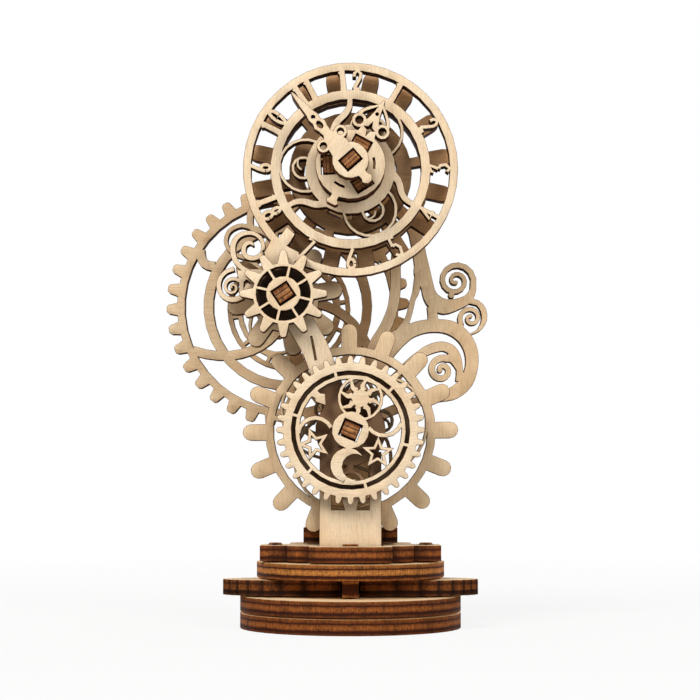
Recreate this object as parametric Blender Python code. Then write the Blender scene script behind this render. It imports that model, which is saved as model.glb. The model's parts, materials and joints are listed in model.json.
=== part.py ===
"""Wooden mechanical clock: laser-cut plywood sheets on square sticks, standing on a stepped round base.

The sheets stand upright, parallel to the XZ plane, and the dial faces -Y. Lengths are in metres.
The origin is the middle of the underside of the base, and +Z is up. A hand wheel at the back turns the
winding train, and its lobed gear turns the lower gear and the hour gear, both at half speed. Its large
gear turns the minute pinion six times as fast, so the minute hand turns twelve times for each turn of
the hour hand.
"""

import math

import bmesh
import bpy
from mathutils.geometry import delaunay_2d_cdt

# Sheet, sticks and gaps
SHEET = 0.00285
SEAT_GAP = 0.0003
RUN_CLEARANCE = 0.0003
STICK_WIDTH = 0.0029
STICK_DEPTH = 0.0026
MINUTE_STICK_DEPTH = 0.0020
STICK_PROUD = 0.0004
WASHER_THICKNESS = 0.0010
CHORD_ERROR = 0.00006
TOOTH_BEVEL = 0.0003
SPECK_AREA = 1e-11
CHIP_AREA = 1e-9

# Axes
RING_GEAR_FOOT_GAP = 0.0011
MIDDLE_AXIS_OFFSET = 0.0121
LOWER_CENTRE_DISTANCE = 0.0274
UPPER_CENTRE_DISTANCE = 0.0261

# Layers, each at the Y of its front face
FRONT_PLATE_FRONT = -0.0115
FRONT_RUN_GAP = 0.0005
HOUR_HAND_GAP = 0.0025
MINUTE_HAND_GAP = 0.0014

# Base
FOOT_RADIUS = 0.0206
UPPER_DISC_RADIUS = 0.0175
WING_REACH = 0.0236
WING_HALF_DEPTH = 0.0065
WING_MIDDLE = -0.0035
WING_SQUARENESS = 0.62
WING_SCALLOPS = 32
WING_SCALLOP_DEPTH = 0.0005
ROSETTE_REACH = 0.0166
ROSETTE_ARM_WIDTH = 0.0150
ROSETTE_SIDE_ARM_WIDTH = 0.0090
ROSETTE_FACET_WIDTH = 0.0058
ROSETTE_FACET_DROP = 0.0011
ROSETTE_NOTCH = 0.0020
BLOCK_WIDTH = 0.0174
BLOCK_DEPTH = 0.0092
BLOCK_FRONT = -0.0036
KEY_WIDTH = 0.0030
KEY_PROUD = 0.0034
KEY_LENGTH = 0.0104
PEG_RADIUS = 0.00125
PEG_SPREAD = 0.0139
PEG_SETBACK = -0.0040
PEG_PROUD = 0.0004
WEDGE_WIDTH = 0.0028
WEDGE_DEPTH = 0.0012

# Dial and front plate
DIAL_RADIUS = 0.01964
DIAL_RIM_WIDTH = 0.00146
NUMBER_RING_RADIUS = 0.01464
NUMBER_RING_WIDTH = 0.00173
DIAL_HUB_RADIUS = 0.00824
DIAL_BORE_RADIUS = 0.00620
DIAL_SCROLL_START = 90.4
NUMERAL_WIDTH = 0.0017
NUMERAL_STROKE = 0.00070
NUMERAL_STEM = 0.00105
DIGIT_STEP = 8.4
SCROLL_WIDTH = 0.00058
SPOKE_WIDTH = 0.00112
SCROLL_RING_RADIUS = 0.00192
STAND_WIDTH = 0.01127
STAND_SOLID_HEIGHT = 0.0220
STAND_POST_WIDTH = 0.0022
STAND_POST_HEIGHT = 0.0040
KEYSTONE_HEIGHT = 0.0020
KEYSTONE_WIDTH = 0.0034
STAND_CURL_RADIUS = 0.0024
STAND_CURL_BAND = 0.0007
STAND_CURL_LIFT = 0.0005
STAND_TIE_WIDTH = 0.0012
STRUT_WIDTH = 0.0049
STRUT_SLOT_WIDTH = 0.00036
LOWER_BOSS_RADIUS = 0.0064
BACK_RING_LAP = 0.00045
MIDDLE_BOSS_RADIUS = 0.0050

# Rear frame plate
ORNAMENT_HUB_RADIUS = 0.0042
ORNAMENT_BAND_WIDTH = 0.0024
ORNAMENT_BAND_BOW = 0.0032
ORNAMENT_FOOT_WIDTH = 0.0100

# Lobed gear and the two fingered gears
LOBES = 8
FINGERS = 16
LOBE_TIP_RADIUS = 0.01075
LOBE_ROOT_RADIUS = 0.00630
LOBE_WIDTH = 0.00323
LOBE_PHASE = 9.6
FINGER_WIDTH = 0.00302
LOWER_TIP_CLEARANCE = 0.00130
LOWER_ROOT_CLEARANCE = 0.00098
UPPER_TIP_CLEARANCE = 0.00070
UPPER_ROOT_CLEARANCE = 0.00050
RING_GEAR_RIM_WIDTH = 0.00152
RING_GEAR_HUB = 0.0054
HOUR_GEAR_RIM_WIDTH = 0.00175
HOUR_GEAR_DISC = 0.01135
HOUR_SPOKE_WIDTH = 0.0018
HOUR_SPOKE_OFFSET = 30.0
HOUR_GEAR_SLOT_INNER = 0.0074
HOUR_GEAR_SLOT_OUTER = 0.0086

# Drive gear and minute pinion
DRIVE_TEETH = 36
DRIVE_TIP_CLEARANCE = 0.00025
DRIVE_ROOT_CLEARANCE = 0.00039
DRIVE_RIM_WIDTH = 0.00146
DRIVE_RING_RADIUS = 0.01630
DRIVE_RING_WIDTH = 0.00190
DRIVE_TOOTH_ROOT = 0.0025
DRIVE_TOOTH_TIP = 0.0018
DRIVE_TOOTH_BEVEL = 0.0004
DRIVE_HUB_RADIUS = 0.0048
DRIVE_SPOKE_WIDTH = 0.0018
DRIVE_SPOKES = 3
DRIVE_SPOKE_START = 205.0
DRIVE_SPOKE_SWEEP = 46.0
DRIVE_HOOK = ((0.0, 147.0), (0.21, 150.4), (0.50, 152.7), (0.78, 152.4), (1.0, 151.0))
PINION_TEETH = 6
MINUTE_PINION_TIP = 0.00435
MINUTE_PINION_ROOT = 0.00245
MINUTE_PINION_TOOTH = 0.00110
MINUTE_PINION_PHASE = -3.2

# Hand wheel
WHEEL_RADIUS = 0.0121
WHEEL_RIM_WIDTH = 0.00095
WHEEL_RING_RADIUS = 0.0102
WHEEL_RING_WIDTH = 0.0010
WHEEL_LINKS = 12
WHEEL_LINK_WIDTH = 0.0007
WHEEL_HUB_RADIUS = 0.0038

# Star gear and front pinion
STAR_TEETH = 36
STAR_TIP_RADIUS = 0.01338
STAR_ROOT_RADIUS = 0.01215
STAR_TOOTH_ROOT = 0.00125
STAR_TOOTH_TIP = 0.00095
STAR_SLOT_OUTER = 0.01065
STAR_SLOT_INNER = 0.00995
STAR_WINDOW_RADIUS = 0.00920
STAR_HUB_RADIUS = 0.00338
STAR_BRIDGES = 6
STAR_BRIDGE_PHASE = 45.0
STAR_BRIDGE_WIDTH = 0.0006
STAR_BAND = 0.00080
STAR_SUN_BAND = 0.00058
FRONT_PINION_TEETH = 12
FRONT_PINION_TIP = 0.00792
FRONT_PINION_ROOT = 0.00555
FRONT_PINION_TOOTH_ROOT = 0.0021
FRONT_PINION_TOOTH_TIP = 0.00125
FRONT_PINION_WINDOW_OUTER = 0.00490
FRONT_PINION_WINDOW_INNER = 0.00315
FRONT_PINION_SPOKES = 8
FRONT_PINION_SPOKE_WIDTH = 0.00056

# Hands
HOUR_DISC_RADIUS = 0.00633
HOUR_HAND_ANGLE = 62.0
HOUR_HAND_LENGTH = 0.0131
HOUR_PEG_RADIUS = 0.0040
HOUR_PEG_ANGLE = 62.0
HOUR_PEG_WIDTH = 0.0029
HOUR_PEG_DEPTH = 0.0020
HOUR_SLOT_RADIUS = 0.0043
HOUR_SLOT_WIDTH = 0.00034
HOUR_SLOT_HALF_ANGLE = 13.0
MINUTE_HUB_RADIUS = 0.00329
MINUTE_HAND_ANGLE = 131.0
MINUTE_HAND_LENGTH = 0.01606

# Shaft turns at rest, in degrees
MIDDLE_TURN = 33.7
LOWER_TURN = -22.8
MINUTE_TURN = 41.0

# Spacer rings
SPACER_RADIUS = 0.0034
MINUTE_WASHER_RADIUS = 0.0026

# Sheet colours, linear, and finish
FACE_COLOUR = (0.72, 0.56, 0.38, 1.0)
BURNT_COLOUR = (0.16, 0.06, 0.02, 1.0)
WOOD_ROUGHNESS = 0.6

# Where the axes and layers fall
LEVEL = SHEET + SEAT_GAP
STAND_FOOT = 4 * LEVEL
RING_GEAR_TIP = LOWER_CENTRE_DISTANCE - LOBE_ROOT_RADIUS - LOWER_TIP_CLEARANCE
LOWER_AXIS_HEIGHT = STAND_FOOT + SHEET + RING_GEAR_FOOT_GAP + RING_GEAR_TIP
LOWER_AXIS = (0.0, LOWER_AXIS_HEIGHT)
MIDDLE_AXIS = (
    -MIDDLE_AXIS_OFFSET,
    LOWER_AXIS_HEIGHT + math.sqrt(LOWER_CENTRE_DISTANCE**2 - MIDDLE_AXIS_OFFSET**2),
)
DIAL_AXIS = (
    0.0,
    MIDDLE_AXIS[1] + math.sqrt(UPPER_CENTRE_DISTANCE**2 - MIDDLE_AXIS_OFFSET**2),
)
FRONT_PLATE_BACK = FRONT_PLATE_FRONT + SHEET
FRONT_GEARS_BACK = FRONT_PLATE_FRONT - FRONT_RUN_GAP
FRONT_GEARS_FRONT = FRONT_GEARS_BACK - SHEET
HOUR_HAND_BACK = FRONT_PLATE_FRONT - HOUR_HAND_GAP
HOUR_HAND_FRONT = HOUR_HAND_BACK - SHEET
MINUTE_HAND_BACK = HOUR_HAND_FRONT - MINUTE_HAND_GAP
MINUTE_HAND_FRONT = MINUTE_HAND_BACK - SHEET
GEAR_LAYER_FRONT = FRONT_PLATE_BACK + WASHER_THICKNESS + 2 * SEAT_GAP
GEAR_LAYER_BACK = GEAR_LAYER_FRONT + SHEET
ORNAMENT_FRONT = GEAR_LAYER_BACK + SHEET + 2 * SEAT_GAP
ORNAMENT_BACK = ORNAMENT_FRONT + SHEET
DRIVE_FRONT = ORNAMENT_BACK + 2 * SHEET + 3 * SEAT_GAP
DRIVE_BACK = DRIVE_FRONT + SHEET
WHEEL_FRONT = DRIVE_BACK + SHEET + 2 * SEAT_GAP
WHEEL_BACK = WHEEL_FRONT + SHEET
RING_GEAR_ROOT = LOWER_CENTRE_DISTANCE - LOBE_TIP_RADIUS - LOWER_ROOT_CLEARANCE
RING_GEAR_BORE = RING_GEAR_ROOT - RING_GEAR_RIM_WIDTH
HOUR_GEAR_TIP = UPPER_CENTRE_DISTANCE - LOBE_ROOT_RADIUS - UPPER_TIP_CLEARANCE
HOUR_GEAR_ROOT = UPPER_CENTRE_DISTANCE - LOBE_TIP_RADIUS - UPPER_ROOT_CLEARANCE
HOUR_GEAR_BORE = HOUR_GEAR_ROOT - HOUR_GEAR_RIM_WIDTH
DRIVE_TIP_RADIUS = UPPER_CENTRE_DISTANCE - MINUTE_PINION_ROOT - DRIVE_TIP_CLEARANCE
DRIVE_ROOT_RADIUS = UPPER_CENTRE_DISTANCE - MINUTE_PINION_TIP - DRIVE_ROOT_CLEARANCE
DRIVE_RIM_BORE = DRIVE_ROOT_RADIUS - DRIVE_RIM_WIDTH
KEY_FRONT = WING_MIDDLE - WING_HALF_DEPTH - KEY_PROUD
STICK_BORE = math.hypot(STICK_WIDTH, STICK_DEPTH) / 2 + RUN_CLEARANCE
MINUTE_BORE = math.hypot(STICK_WIDTH, MINUTE_STICK_DEPTH) / 2 + RUN_CLEARANCE

# One unit of the tables that draw scrolls, stars and hands: a millimetre, and it grows with the piece
PLATE_UNIT = LOWER_CENTRE_DISTANCE / 27.4
STAR_UNIT = STAR_WINDOW_RADIUS / 9.2
HOUR_HAND_UNIT = HOUR_HAND_LENGTH / 13.1
MINUTE_HAND_UNIT = MINUTE_HAND_LENGTH / 16.06


def polar(radius, degrees, centre=(0.0, 0.0)):
    """The point at a radius and an angle from a centre."""
    angle = math.radians(degrees)
    return (centre[0] + radius * math.cos(angle), centre[1] + radius * math.sin(angle))


def arc(radius, start, end, centre=(0.0, 0.0)):
    """Points along a circle from one angle to another, close enough to keep to the chord error."""
    widest = 2 * math.degrees(math.acos(1 - CHORD_ERROR / max(radius, 10 * CHORD_ERROR)))
    steps = max(2, math.ceil(abs(end - start) / widest))
    return [polar(radius, start + (end - start) * i / steps, centre) for i in range(steps + 1)]


def disc(radius, centre=(0.0, 0.0)):
    """A round outline."""
    return arc(radius, 0.0, 360.0, centre)[:-1]


def sector(inner, outer, start, end, centre=(0.0, 0.0)):
    """The outline of a piece of a flat ring."""
    return arc(outer, start, end, centre) + arc(inner, end, start, centre)


def box(width, height, turn=0.0, centre=(0.0, 0.0)):
    """A rectangle about its centre, turned by some degrees."""
    x = width / 2
    z = height / 2
    return moved([(-x, -z), (x, -z), (x, z), (-x, z)], turn, centre)


def moved(points, turn=0.0, shift=(0.0, 0.0)):
    """Points turned about the origin and then shifted."""
    cosine = math.cos(math.radians(turn))
    sine = math.sin(math.radians(turn))
    return [(x * cosine - z * sine + shift[0], x * sine + z * cosine + shift[1]) for x, z in points]


def smooth(points, steps=5):
    """A curve through all the points and their widths, by Catmull and Rom's rule."""
    ends = [points[0]] + list(points) + [points[-1]]
    path = []
    for i in range(1, len(ends) - 2):
        before, here, there, after = ends[i - 1 : i + 3]
        for step in range(steps):
            t = step / steps
            path.append(
                tuple(
                    here[k]
                    + 0.5 * t * (there[k] - before[k])
                    + t * t * (before[k] - 2.5 * here[k] + 2 * there[k] - 0.5 * after[k])
                    + t * t * t * (1.5 * here[k] - 0.5 * before[k] - 1.5 * there[k] + 0.5 * after[k])
                    for k in range(len(here))
                )
            )
    return path + [tuple(points[-1])]


def band(path):
    """A band along points that each have a width, as two triangles for each step."""
    last = len(path) - 1
    sides = []
    for i, (x, z, width) in enumerate(path):
        ahead = path[min(i + 1, last)]
        behind = path[max(i - 1, 0)]
        along = (ahead[0] - behind[0], ahead[1] - behind[1])
        half = width / 2 / math.hypot(*along)
        aside = (-along[1] * half, along[0] * half)
        sides.append(((x + aside[0], z + aside[1]), (x - aside[0], z - aside[1])))
    outlines = []
    for i in range(last):
        outlines.append([sides[i][1], sides[i + 1][1], sides[i + 1][0]])
        outlines.append([sides[i][1], sides[i + 1][0], sides[i][0]])
    return [outline for outline in outlines if abs(signed_area(outline)) > SPECK_AREA]


def stroke(path, width, end_width=None):
    """A band along a path; its width may taper."""
    last = len(path) - 1
    end_width = width if end_width is None else end_width
    return band([(x, z, width + (end_width - width) * i / last) for i, (x, z) in enumerate(path)])


def hoop(radius, width, centre=(0.0, 0.0)):
    """A thin ring, as a band that closes on itself."""
    return stroke(arc(radius, -5.0, 365.0, centre), width)


def spiral(centre, outer, inner, start, sweep, steps=26):
    """A path that winds in from one radius to another."""
    path = []
    for i in range(steps + 1):
        path.append(polar(outer + (inner - outer) * i / steps, start + sweep * i / steps, centre))
    return path


def scroll(centre, outer, inner, start, sweep, width, end_width):
    """A spiral band with a round bead at its inner end."""
    path = spiral(centre, outer, inner, start, sweep)
    return stroke(path, width, end_width) + [disc(end_width * 0.62, path[-1])]


def sized(table, unit, origin=(0.0, 0.0)):
    """A table's points, in metres from the origin, with their widths where the table has them."""
    points = []
    for across, up, *widths in table:
        widths = [width * unit for width in widths]
        points.append((origin[0] + across * unit, origin[1] + up * unit, *widths))
    return points


def swept(table, origin, steps=3):
    """A band through the rows of a plate's table: across, up and width."""
    return band(smooth(sized(table, PLATE_UNIT, origin), steps))


def curled(row, origin):
    """A scroll from one row of a plate's table: the centre across and up, the radii, angles and widths."""
    across, up, outer, inner, start, sweep, width, end_width = row
    centre = sized([(across, up)], PLATE_UNIT, origin)[0]
    sizes = [size * PLATE_UNIT for size in (outer, inner, width, end_width)]
    return scroll(centre, sizes[0], sizes[1], start, sweep, sizes[2], sizes[3])


def signed_area(points):
    """Positive where the points run anticlockwise."""
    return 0.5 * sum(
        points[i - 1][0] * points[i][1] - points[i][0] * points[i - 1][1] for i in range(len(points))
    )


class Drawing:
    """A flat cutting pattern. Shapes are added or cut away in the order in which they are drawn."""

    def __init__(self):
        self.shapes = []

    def add(self, *outlines):
        self.shapes += [(True, outline) for outline in outlines]

    def cut(self, *outlines):
        self.shapes += [(False, outline) for outline in outlines]

    def loops(self):
        """The outer edges and hole edges of what is left, material on the left."""
        points = []
        faces = []
        for _, outline in self.shapes:
            ring = outline if signed_area(outline) > 0 else outline[::-1]
            faces.append(list(range(len(points), len(points) + len(ring))))
            points += ring
        corners, _, triangles, _, _, covers = delaunay_2d_cdt(points, [], faces, 0, 1e-7)
        kept = []
        for triangle, shapes in zip(triangles, covers):
            if shapes and self.shapes[max(shapes)][0]:
                kept.append(triangle)
        edges = {(t[i - 1], t[i]) for t in kept for i in range(len(t))}
        onward = {}
        for a, b in sorted(edges):
            if (b, a) not in edges:
                onward.setdefault(a, []).append(b)
        touching = {a for a, ends in onward.items() if len(ends) > 1}
        rings = []
        while onward:
            first = min(onward)
            ring = [first]
            here = take_edge(onward, first, None, corners)
            while here != first:
                ring.append(here)
                here = take_edge(onward, here, ring[-2], corners)
            rings.append(tidy_ring(blunted(ring, touching, corners)))
        return [ring for ring in rings if len(ring) > 2 and abs(signed_area(ring)) > CHIP_AREA]


def take_edge(onward, here, before, corners):
    """Removes and returns the next corner. Where two corners touch, the outline stays on the same one."""
    ends = onward[here]
    chosen = ends[0]
    if before is not None and len(ends) > 1:
        back = math.atan2(corners[before][1] - corners[here][1], corners[before][0] - corners[here][0])
        chosen = min(
            ends,
            key=lambda end: (
                back - math.atan2(corners[end][1] - corners[here][1], corners[end][0] - corners[here][0])
            )
            % (2 * math.pi),
        )
    ends.remove(chosen)
    if not ends:
        del onward[here]
    return chosen


def blunted(ring, touching, corners, pull=0.15):
    """The ring's points, with each corner that touches another one drawn back between its neighbours."""
    points = []
    for i, corner in enumerate(ring):
        x, z = corners[corner]
        if corner in touching:
            before = corners[ring[i - 1]]
            after = corners[ring[(i + 1) % len(ring)]]
            x += pull * ((before[0] + after[0]) / 2 - x)
            z += pull * ((before[1] + after[1]) / 2 - z)
        points.append((x, z))
    return points


def tidy_ring(points, near=1e-4, flat=2.2e-5):
    """The ring without points that nearly coincide or that lie on the line between their neighbours."""
    ring = []
    for point in points:
        if not ring or math.dist(point, ring[-1]) > near:
            ring.append(point)
    while len(ring) > 3 and math.dist(ring[0], ring[-1]) <= near:
        ring.pop()
    kept = []
    for i, point in enumerate(ring):
        before = kept[-1] if kept else ring[-1]
        after = ring[(i + 1) % len(ring)]
        base = math.dist(before, after)
        height = abs(signed_area([before, point, after])) * 2 / max(base, near)
        if height > flat:
            kept.append(point)
    return kept


def wood(name, colour):
    """One matt wood material for one piece."""
    material = bpy.data.materials.new(name)
    material.use_nodes = True
    shader = material.node_tree.nodes["Principled BSDF"]
    shader.inputs["Base Color"].default_value = colour
    shader.inputs["Roughness"].default_value = WOOD_ROUGHNESS
    shader.inputs["Metallic"].default_value = 0.0
    return material


def cut_sheet(name, drawing, start, axle=None, thickness=SHEET, lying=False, colour=FACE_COLOUR):
    """Cuts a drawing from sheet, standing with its front at Y = start or lying with its foot at Z = start."""
    corners = []
    rings = []
    for ring in drawing.loops():
        rings.append(list(range(len(corners), len(corners) + len(ring))))
        corners += ring if signed_area(ring) > 0 else ring[::-1]
    flat, _, faces, _, _, covers = delaunay_2d_cdt(corners, [], rings, 0, 1e-7)
    faces = [face for face, around in zip(faces, covers) if len(around) % 2 == 1]
    outline = bmesh.new()
    if lying:
        places = [outline.verts.new((x, y, start)) for x, y in flat]
        push = (0.0, 0.0, thickness)
    else:
        places = [outline.verts.new((x, start, z)) for x, z in flat]
        push = (0.0, thickness, 0.0)
    sheet_faces = [outline.faces.new([places[i] for i in face]) for face in faces]
    grown = bmesh.ops.extrude_face_region(outline, geom=sheet_faces)["geom"]
    bmesh.ops.translate(outline, verts=[v for v in grown if isinstance(v, bmesh.types.BMVert)], vec=push)
    bmesh.ops.recalc_face_normals(outline, faces=outline.faces)
    mesh = bpy.data.meshes.new(name)
    outline.to_mesh(mesh)
    outline.free()
    mesh.shade_smooth()
    mesh.set_sharp_from_angle(angle=math.radians(30))
    mesh.materials.append(wood(name + "_wood", colour))
    piece = bpy.data.objects.new(name, mesh)
    bpy.context.collection.objects.link(piece)
    piece.parent = axle
    return piece


def stick(name, width, depth, turn, front, back, axle=None, centre=(0.0, 0.0)):
    """A square stick that runs along Y."""
    drawing = Drawing()
    drawing.add(box(width, depth, turn, centre))
    return cut_sheet(name, drawing, front, axle, thickness=back - front, colour=BURNT_COLOUR)


def axle_at(name, axis):
    """An empty on a joint's axis, which carries the pieces that turn together."""
    axle = bpy.data.objects.new(name, None)
    axle.location = (axis[0], 0.0, axis[1])
    bpy.context.collection.objects.link(axle)
    return axle


def square_hole(depth, turn, width=STICK_WIDTH):
    """The hole that seats a stick."""
    return box(width + 2 * SEAT_GAP, depth + 2 * SEAT_GAP, turn)


def spacer(name, depth, turn, start, axle, thickness=SHEET, radius=SPACER_RADIUS):
    """A ring that is fixed on a stick and keeps two sheets apart."""
    drawing = Drawing()
    drawing.add(disc(radius))
    drawing.cut(square_hole(depth, turn))
    cut_sheet(name, drawing, start, axle, thickness=thickness)


def tongue(root, tip, width, centre_angle):
    """A finger with straight sides and a rounded end, pointing along an angle."""
    shoulder = tip - width / 2
    end = arc(width / 2, 90.0, -90.0, (shoulder, 0.0))
    outline = [(root, width / 2)] + end + [(root, -width / 2)]
    return moved(outline, centre_angle)


def finger_gear_drawing(count, root, tip, width, phase):
    """A disc with long round-ended fingers."""
    drawing = Drawing()
    drawing.add(disc(root))
    for k in range(count):
        drawing.add(tongue(root * 0.9, tip, width, phase + 360.0 * k / count))
    return drawing


def toothed_ring(count, root, tip, root_width, tip_width, phase, bevel=0.0):
    """One outline with a tooth for each step round: a flat land, straight flanks and a bevelled tip."""
    root_half = math.degrees(root_width / 2 / root)
    tip_half = math.degrees(tip_width / 2 / tip)
    side = [(root, root_half), (tip - bevel, tip_half)]
    if bevel > 0:
        side.append((tip, tip_half - math.degrees(bevel / tip)))
    tooth = [(radius, -half) for radius, half in side] + side[::-1]
    outline = []
    for k in range(count):
        centre = phase + 360.0 * k / count
        outline += [polar(radius, centre + offset) for radius, offset in tooth]
    return outline


def scroll_spokes(drawing, hub, ring, first, centre=(0.0, 0.0)):
    """Three S-shaped spokes from a hub to a ring, each followed by a loop with a small curled ring in it."""
    span = ring - hub
    for k in range(3):
        turn = first + 120.0 * k
        path = [
            polar(ring + 0.1 * span, turn, centre),
            polar(hub + 0.72 * span, turn + 0.6, centre),
            polar(hub + 0.43 * span, turn + 5.0, centre),
            polar(hub + 0.18 * span, turn + 15.0, centre),
            polar(hub - 0.12 * span, turn + 24.0, centre),
        ]
        drawing.add(*stroke(smooth(path, 4), SPOKE_WIDTH * 0.85, SPOKE_WIDTH * 1.3))
        loop_centre = polar(hub, turn + 85.0, centre)
        drawing.add(*hoop(span + SCROLL_WIDTH * 0.2, SCROLL_WIDTH, loop_centre))
        curl_centre = polar(hub + 0.08 * span, turn + 88.0, centre)
        drawing.add(*hoop(SCROLL_RING_RADIUS, SCROLL_WIDTH, curl_centre))
        hook = [
            polar(SCROLL_RING_RADIUS, turn + 30.0, curl_centre),
            polar(SCROLL_RING_RADIUS * 0.55, turn + 70.0, curl_centre),
            polar(SCROLL_RING_RADIUS * 0.25, turn + 150.0, curl_centre),
        ]
        drawing.add(*stroke(smooth(hook, 3), SCROLL_WIDTH * 0.8))


def oval(across, up, half_width, half_height, steps=12):
    """A closed oval line."""
    turns = [2 * math.pi * i / steps for i in range(steps + 1)]
    return [(across + half_width * math.cos(a), up + half_height * math.sin(a)) for a in turns]


# Numerals as strokes: across from 0 to 1, and up from the feet at 0 to the head at 1
DIGITS = {
    "0": [oval(0.5, 0.5, 0.34, 0.5, 16)],
    "1": [[(0.5, -0.06), (0.5, 1.06)], [(0.12, 0.06), (0.88, 0.06)], [(0.16, 0.84), (0.5, 0.96)]],
    "2": [
        [(0.18, 0.66), (0.2, 0.86), (0.5, 1.0), (0.82, 0.86), (0.82, 0.66), (0.5, 0.32), (0.2, 0.05)],
        [(0.12, 0.05), (0.95, 0.05)],
    ],
    "3": [
        [(0.12, 0.84), (0.16, 1.0), (0.84, 1.0), (0.46, 0.6)],
        [(0.46, 0.6), (0.82, 0.5), (0.88, 0.22), (0.5, 0.02), (0.14, 0.16)],
    ],
    "4": [[(0.68, -0.06), (0.68, 1.06)], [(0.68, 0.94), (0.1, 0.34), (1.0, 0.34)]],
    "5": [
        [(0.86, 1.0), (0.26, 1.0), (0.22, 0.56)],
        [(0.22, 0.56), (0.6, 0.62), (0.9, 0.36), (0.74, 0.06), (0.4, 0.0), (0.12, 0.16)],
    ],
    "6": [
        oval(0.5, 0.24, 0.36, 0.24),
        [(0.16, 0.32), (0.34, 0.62), (0.72, 1.04)],
    ],
    "7": [[(0.1, 0.97), (0.9, 0.97), (0.3, -0.04)]],
    "8": [
        oval(0.5, 0.26, 0.36, 0.25),
        oval(0.5, 0.75, 0.30, 0.22),
    ],
    "9": [
        oval(0.5, 0.76, 0.36, 0.24),
        [(0.84, 0.68), (0.66, 0.38), (0.28, -0.04)],
    ],
}

# Each numeral: its digits with their angles on the dial, and whether its feet point to the middle
NUMERALS = [
    ("1", 95.0, True),
    ("2", 85.8, True),
    ("1", 59.5, True),
    ("2", 29.5, True),
    ("3", 0.5, False),
    ("4", 330.0, False),
    ("5", 300.0, False),
    ("6", 270.5, False),
    ("7", 241.5, False),
    ("8", 209.3, False),
    ("1", 200.6, False),
    ("9", 179.0, False),
    ("0", 144.5, True),
    ("1", 152.5, True),
    ("1", 116.5, True),
    ("1", 124.0, True),
]


def add_numeral(drawing, digit, degrees, feet_inward, centre):
    """One digit bridging the gap between the number ring and the dial's rim."""
    foot = NUMBER_RING_RADIUS
    head = DIAL_RADIUS - DIAL_RIM_WIDTH
    middle = (foot + head) / 2
    for number, line in enumerate(DIGITS[digit]):
        width = NUMERAL_STEM if digit == "1" and number == 0 else NUMERAL_STROKE
        path = []
        for across, up in line:
            swing = math.degrees((across - 0.5) * NUMERAL_WIDTH / middle)
            if feet_inward:
                path.append(polar(foot + (head - foot) * up, degrees - swing, centre))
            else:
                path.append(polar(head - (head - foot) * up, degrees + swing, centre))
        drawing.add(*stroke(path, width))


def between(start, end, share, aside=0.0):
    """A point part of the way from one point to another, and some distance to its left."""
    along = (end[0] - start[0], end[1] - start[1])
    length = math.hypot(*along)
    return (
        start[0] + along[0] * share - along[1] / length * aside,
        start[1] + along[1] * share + along[0] / length * aside,
    )


# Scrolls left of the middle axis on the front plate, in units from that axis: across, up and width
BIG_SCROLL = [
    (-3.04, 4.17, 1.01), (-4.66, 4.38, 0.93), (-6.27, 4.38, 0.89), (-7.59, 4.98, 0.93), (-8.70, 6.13, 1.01),
    (-9.26, 7.55, 1.05), (-9.31, 9.16, 1.05), (-8.70, 10.48, 0.97), (-7.59, 11.24, 0.89),
    (-6.17, 11.45, 0.81), (-4.86, 10.98, 0.77), (-4.01, 9.97, 0.77), (-3.79, 8.76, 0.77),
    (-4.09, 7.65, 0.81), (-4.90, 6.96, 0.89), (-5.97, 6.80, 0.93), (-7.00, 7.24, 0.93), (-7.39, 8.21, 0.93),
    (-7.12, 9.22, 0.89), (-6.36, 9.67, 0.81), (-5.77, 9.43, 0.61), (-5.63, 9.02, 0.32),
]
SMALL_SCROLL = [
    (-9.06, 4.86, 0.81), (-10.52, 4.34, 0.81), (-11.57, 3.20, 0.85), (-11.89, 1.69, 0.89),
    (-11.43, 0.27, 0.93), (-10.21, -0.63, 0.97), (-8.80, -0.74, 1.01), (-7.39, -0.19, 0.89),
]
SMALL_CURL = (-9.41, 1.49, 1.7, 0.16, 40.0, 500.0, 0.69, 0.45)
SCROLL_WEB = [
    (-8.50, 4.62), (-5.87, 4.42), (-4.25, 4.01), (0.0, 0.0), (-4.86, 0.58), (-7.49, -0.43), (-8.29, 0.58),
    (-8.05, 1.59), (-8.29, 2.60), (-8.38, 3.61),
]
WEB_HEART = [(-7.33, 1.35), (-7.28, 2.40), (-6.84, 2.88), (-5.87, 2.07), (-6.58, 2.32), (-6.96, 2.03)]
BRIDGE_OUTLINE = [
    (-2.23, 10.48), (-3.04, 8.86), (-3.65, 7.85), (-3.35, 6.84), (-2.2, 5.6), (0.0, 0.0), (1.8, 5.6),
    (2.8, 7.85),
]
BRIDGE_LEAF = [(-1.4, 10.2), (-0.85, 10.65), (0.5, 12.55), (2.0, 11.2), (0.8, 9.25), (-0.2, 8.8)]


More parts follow.
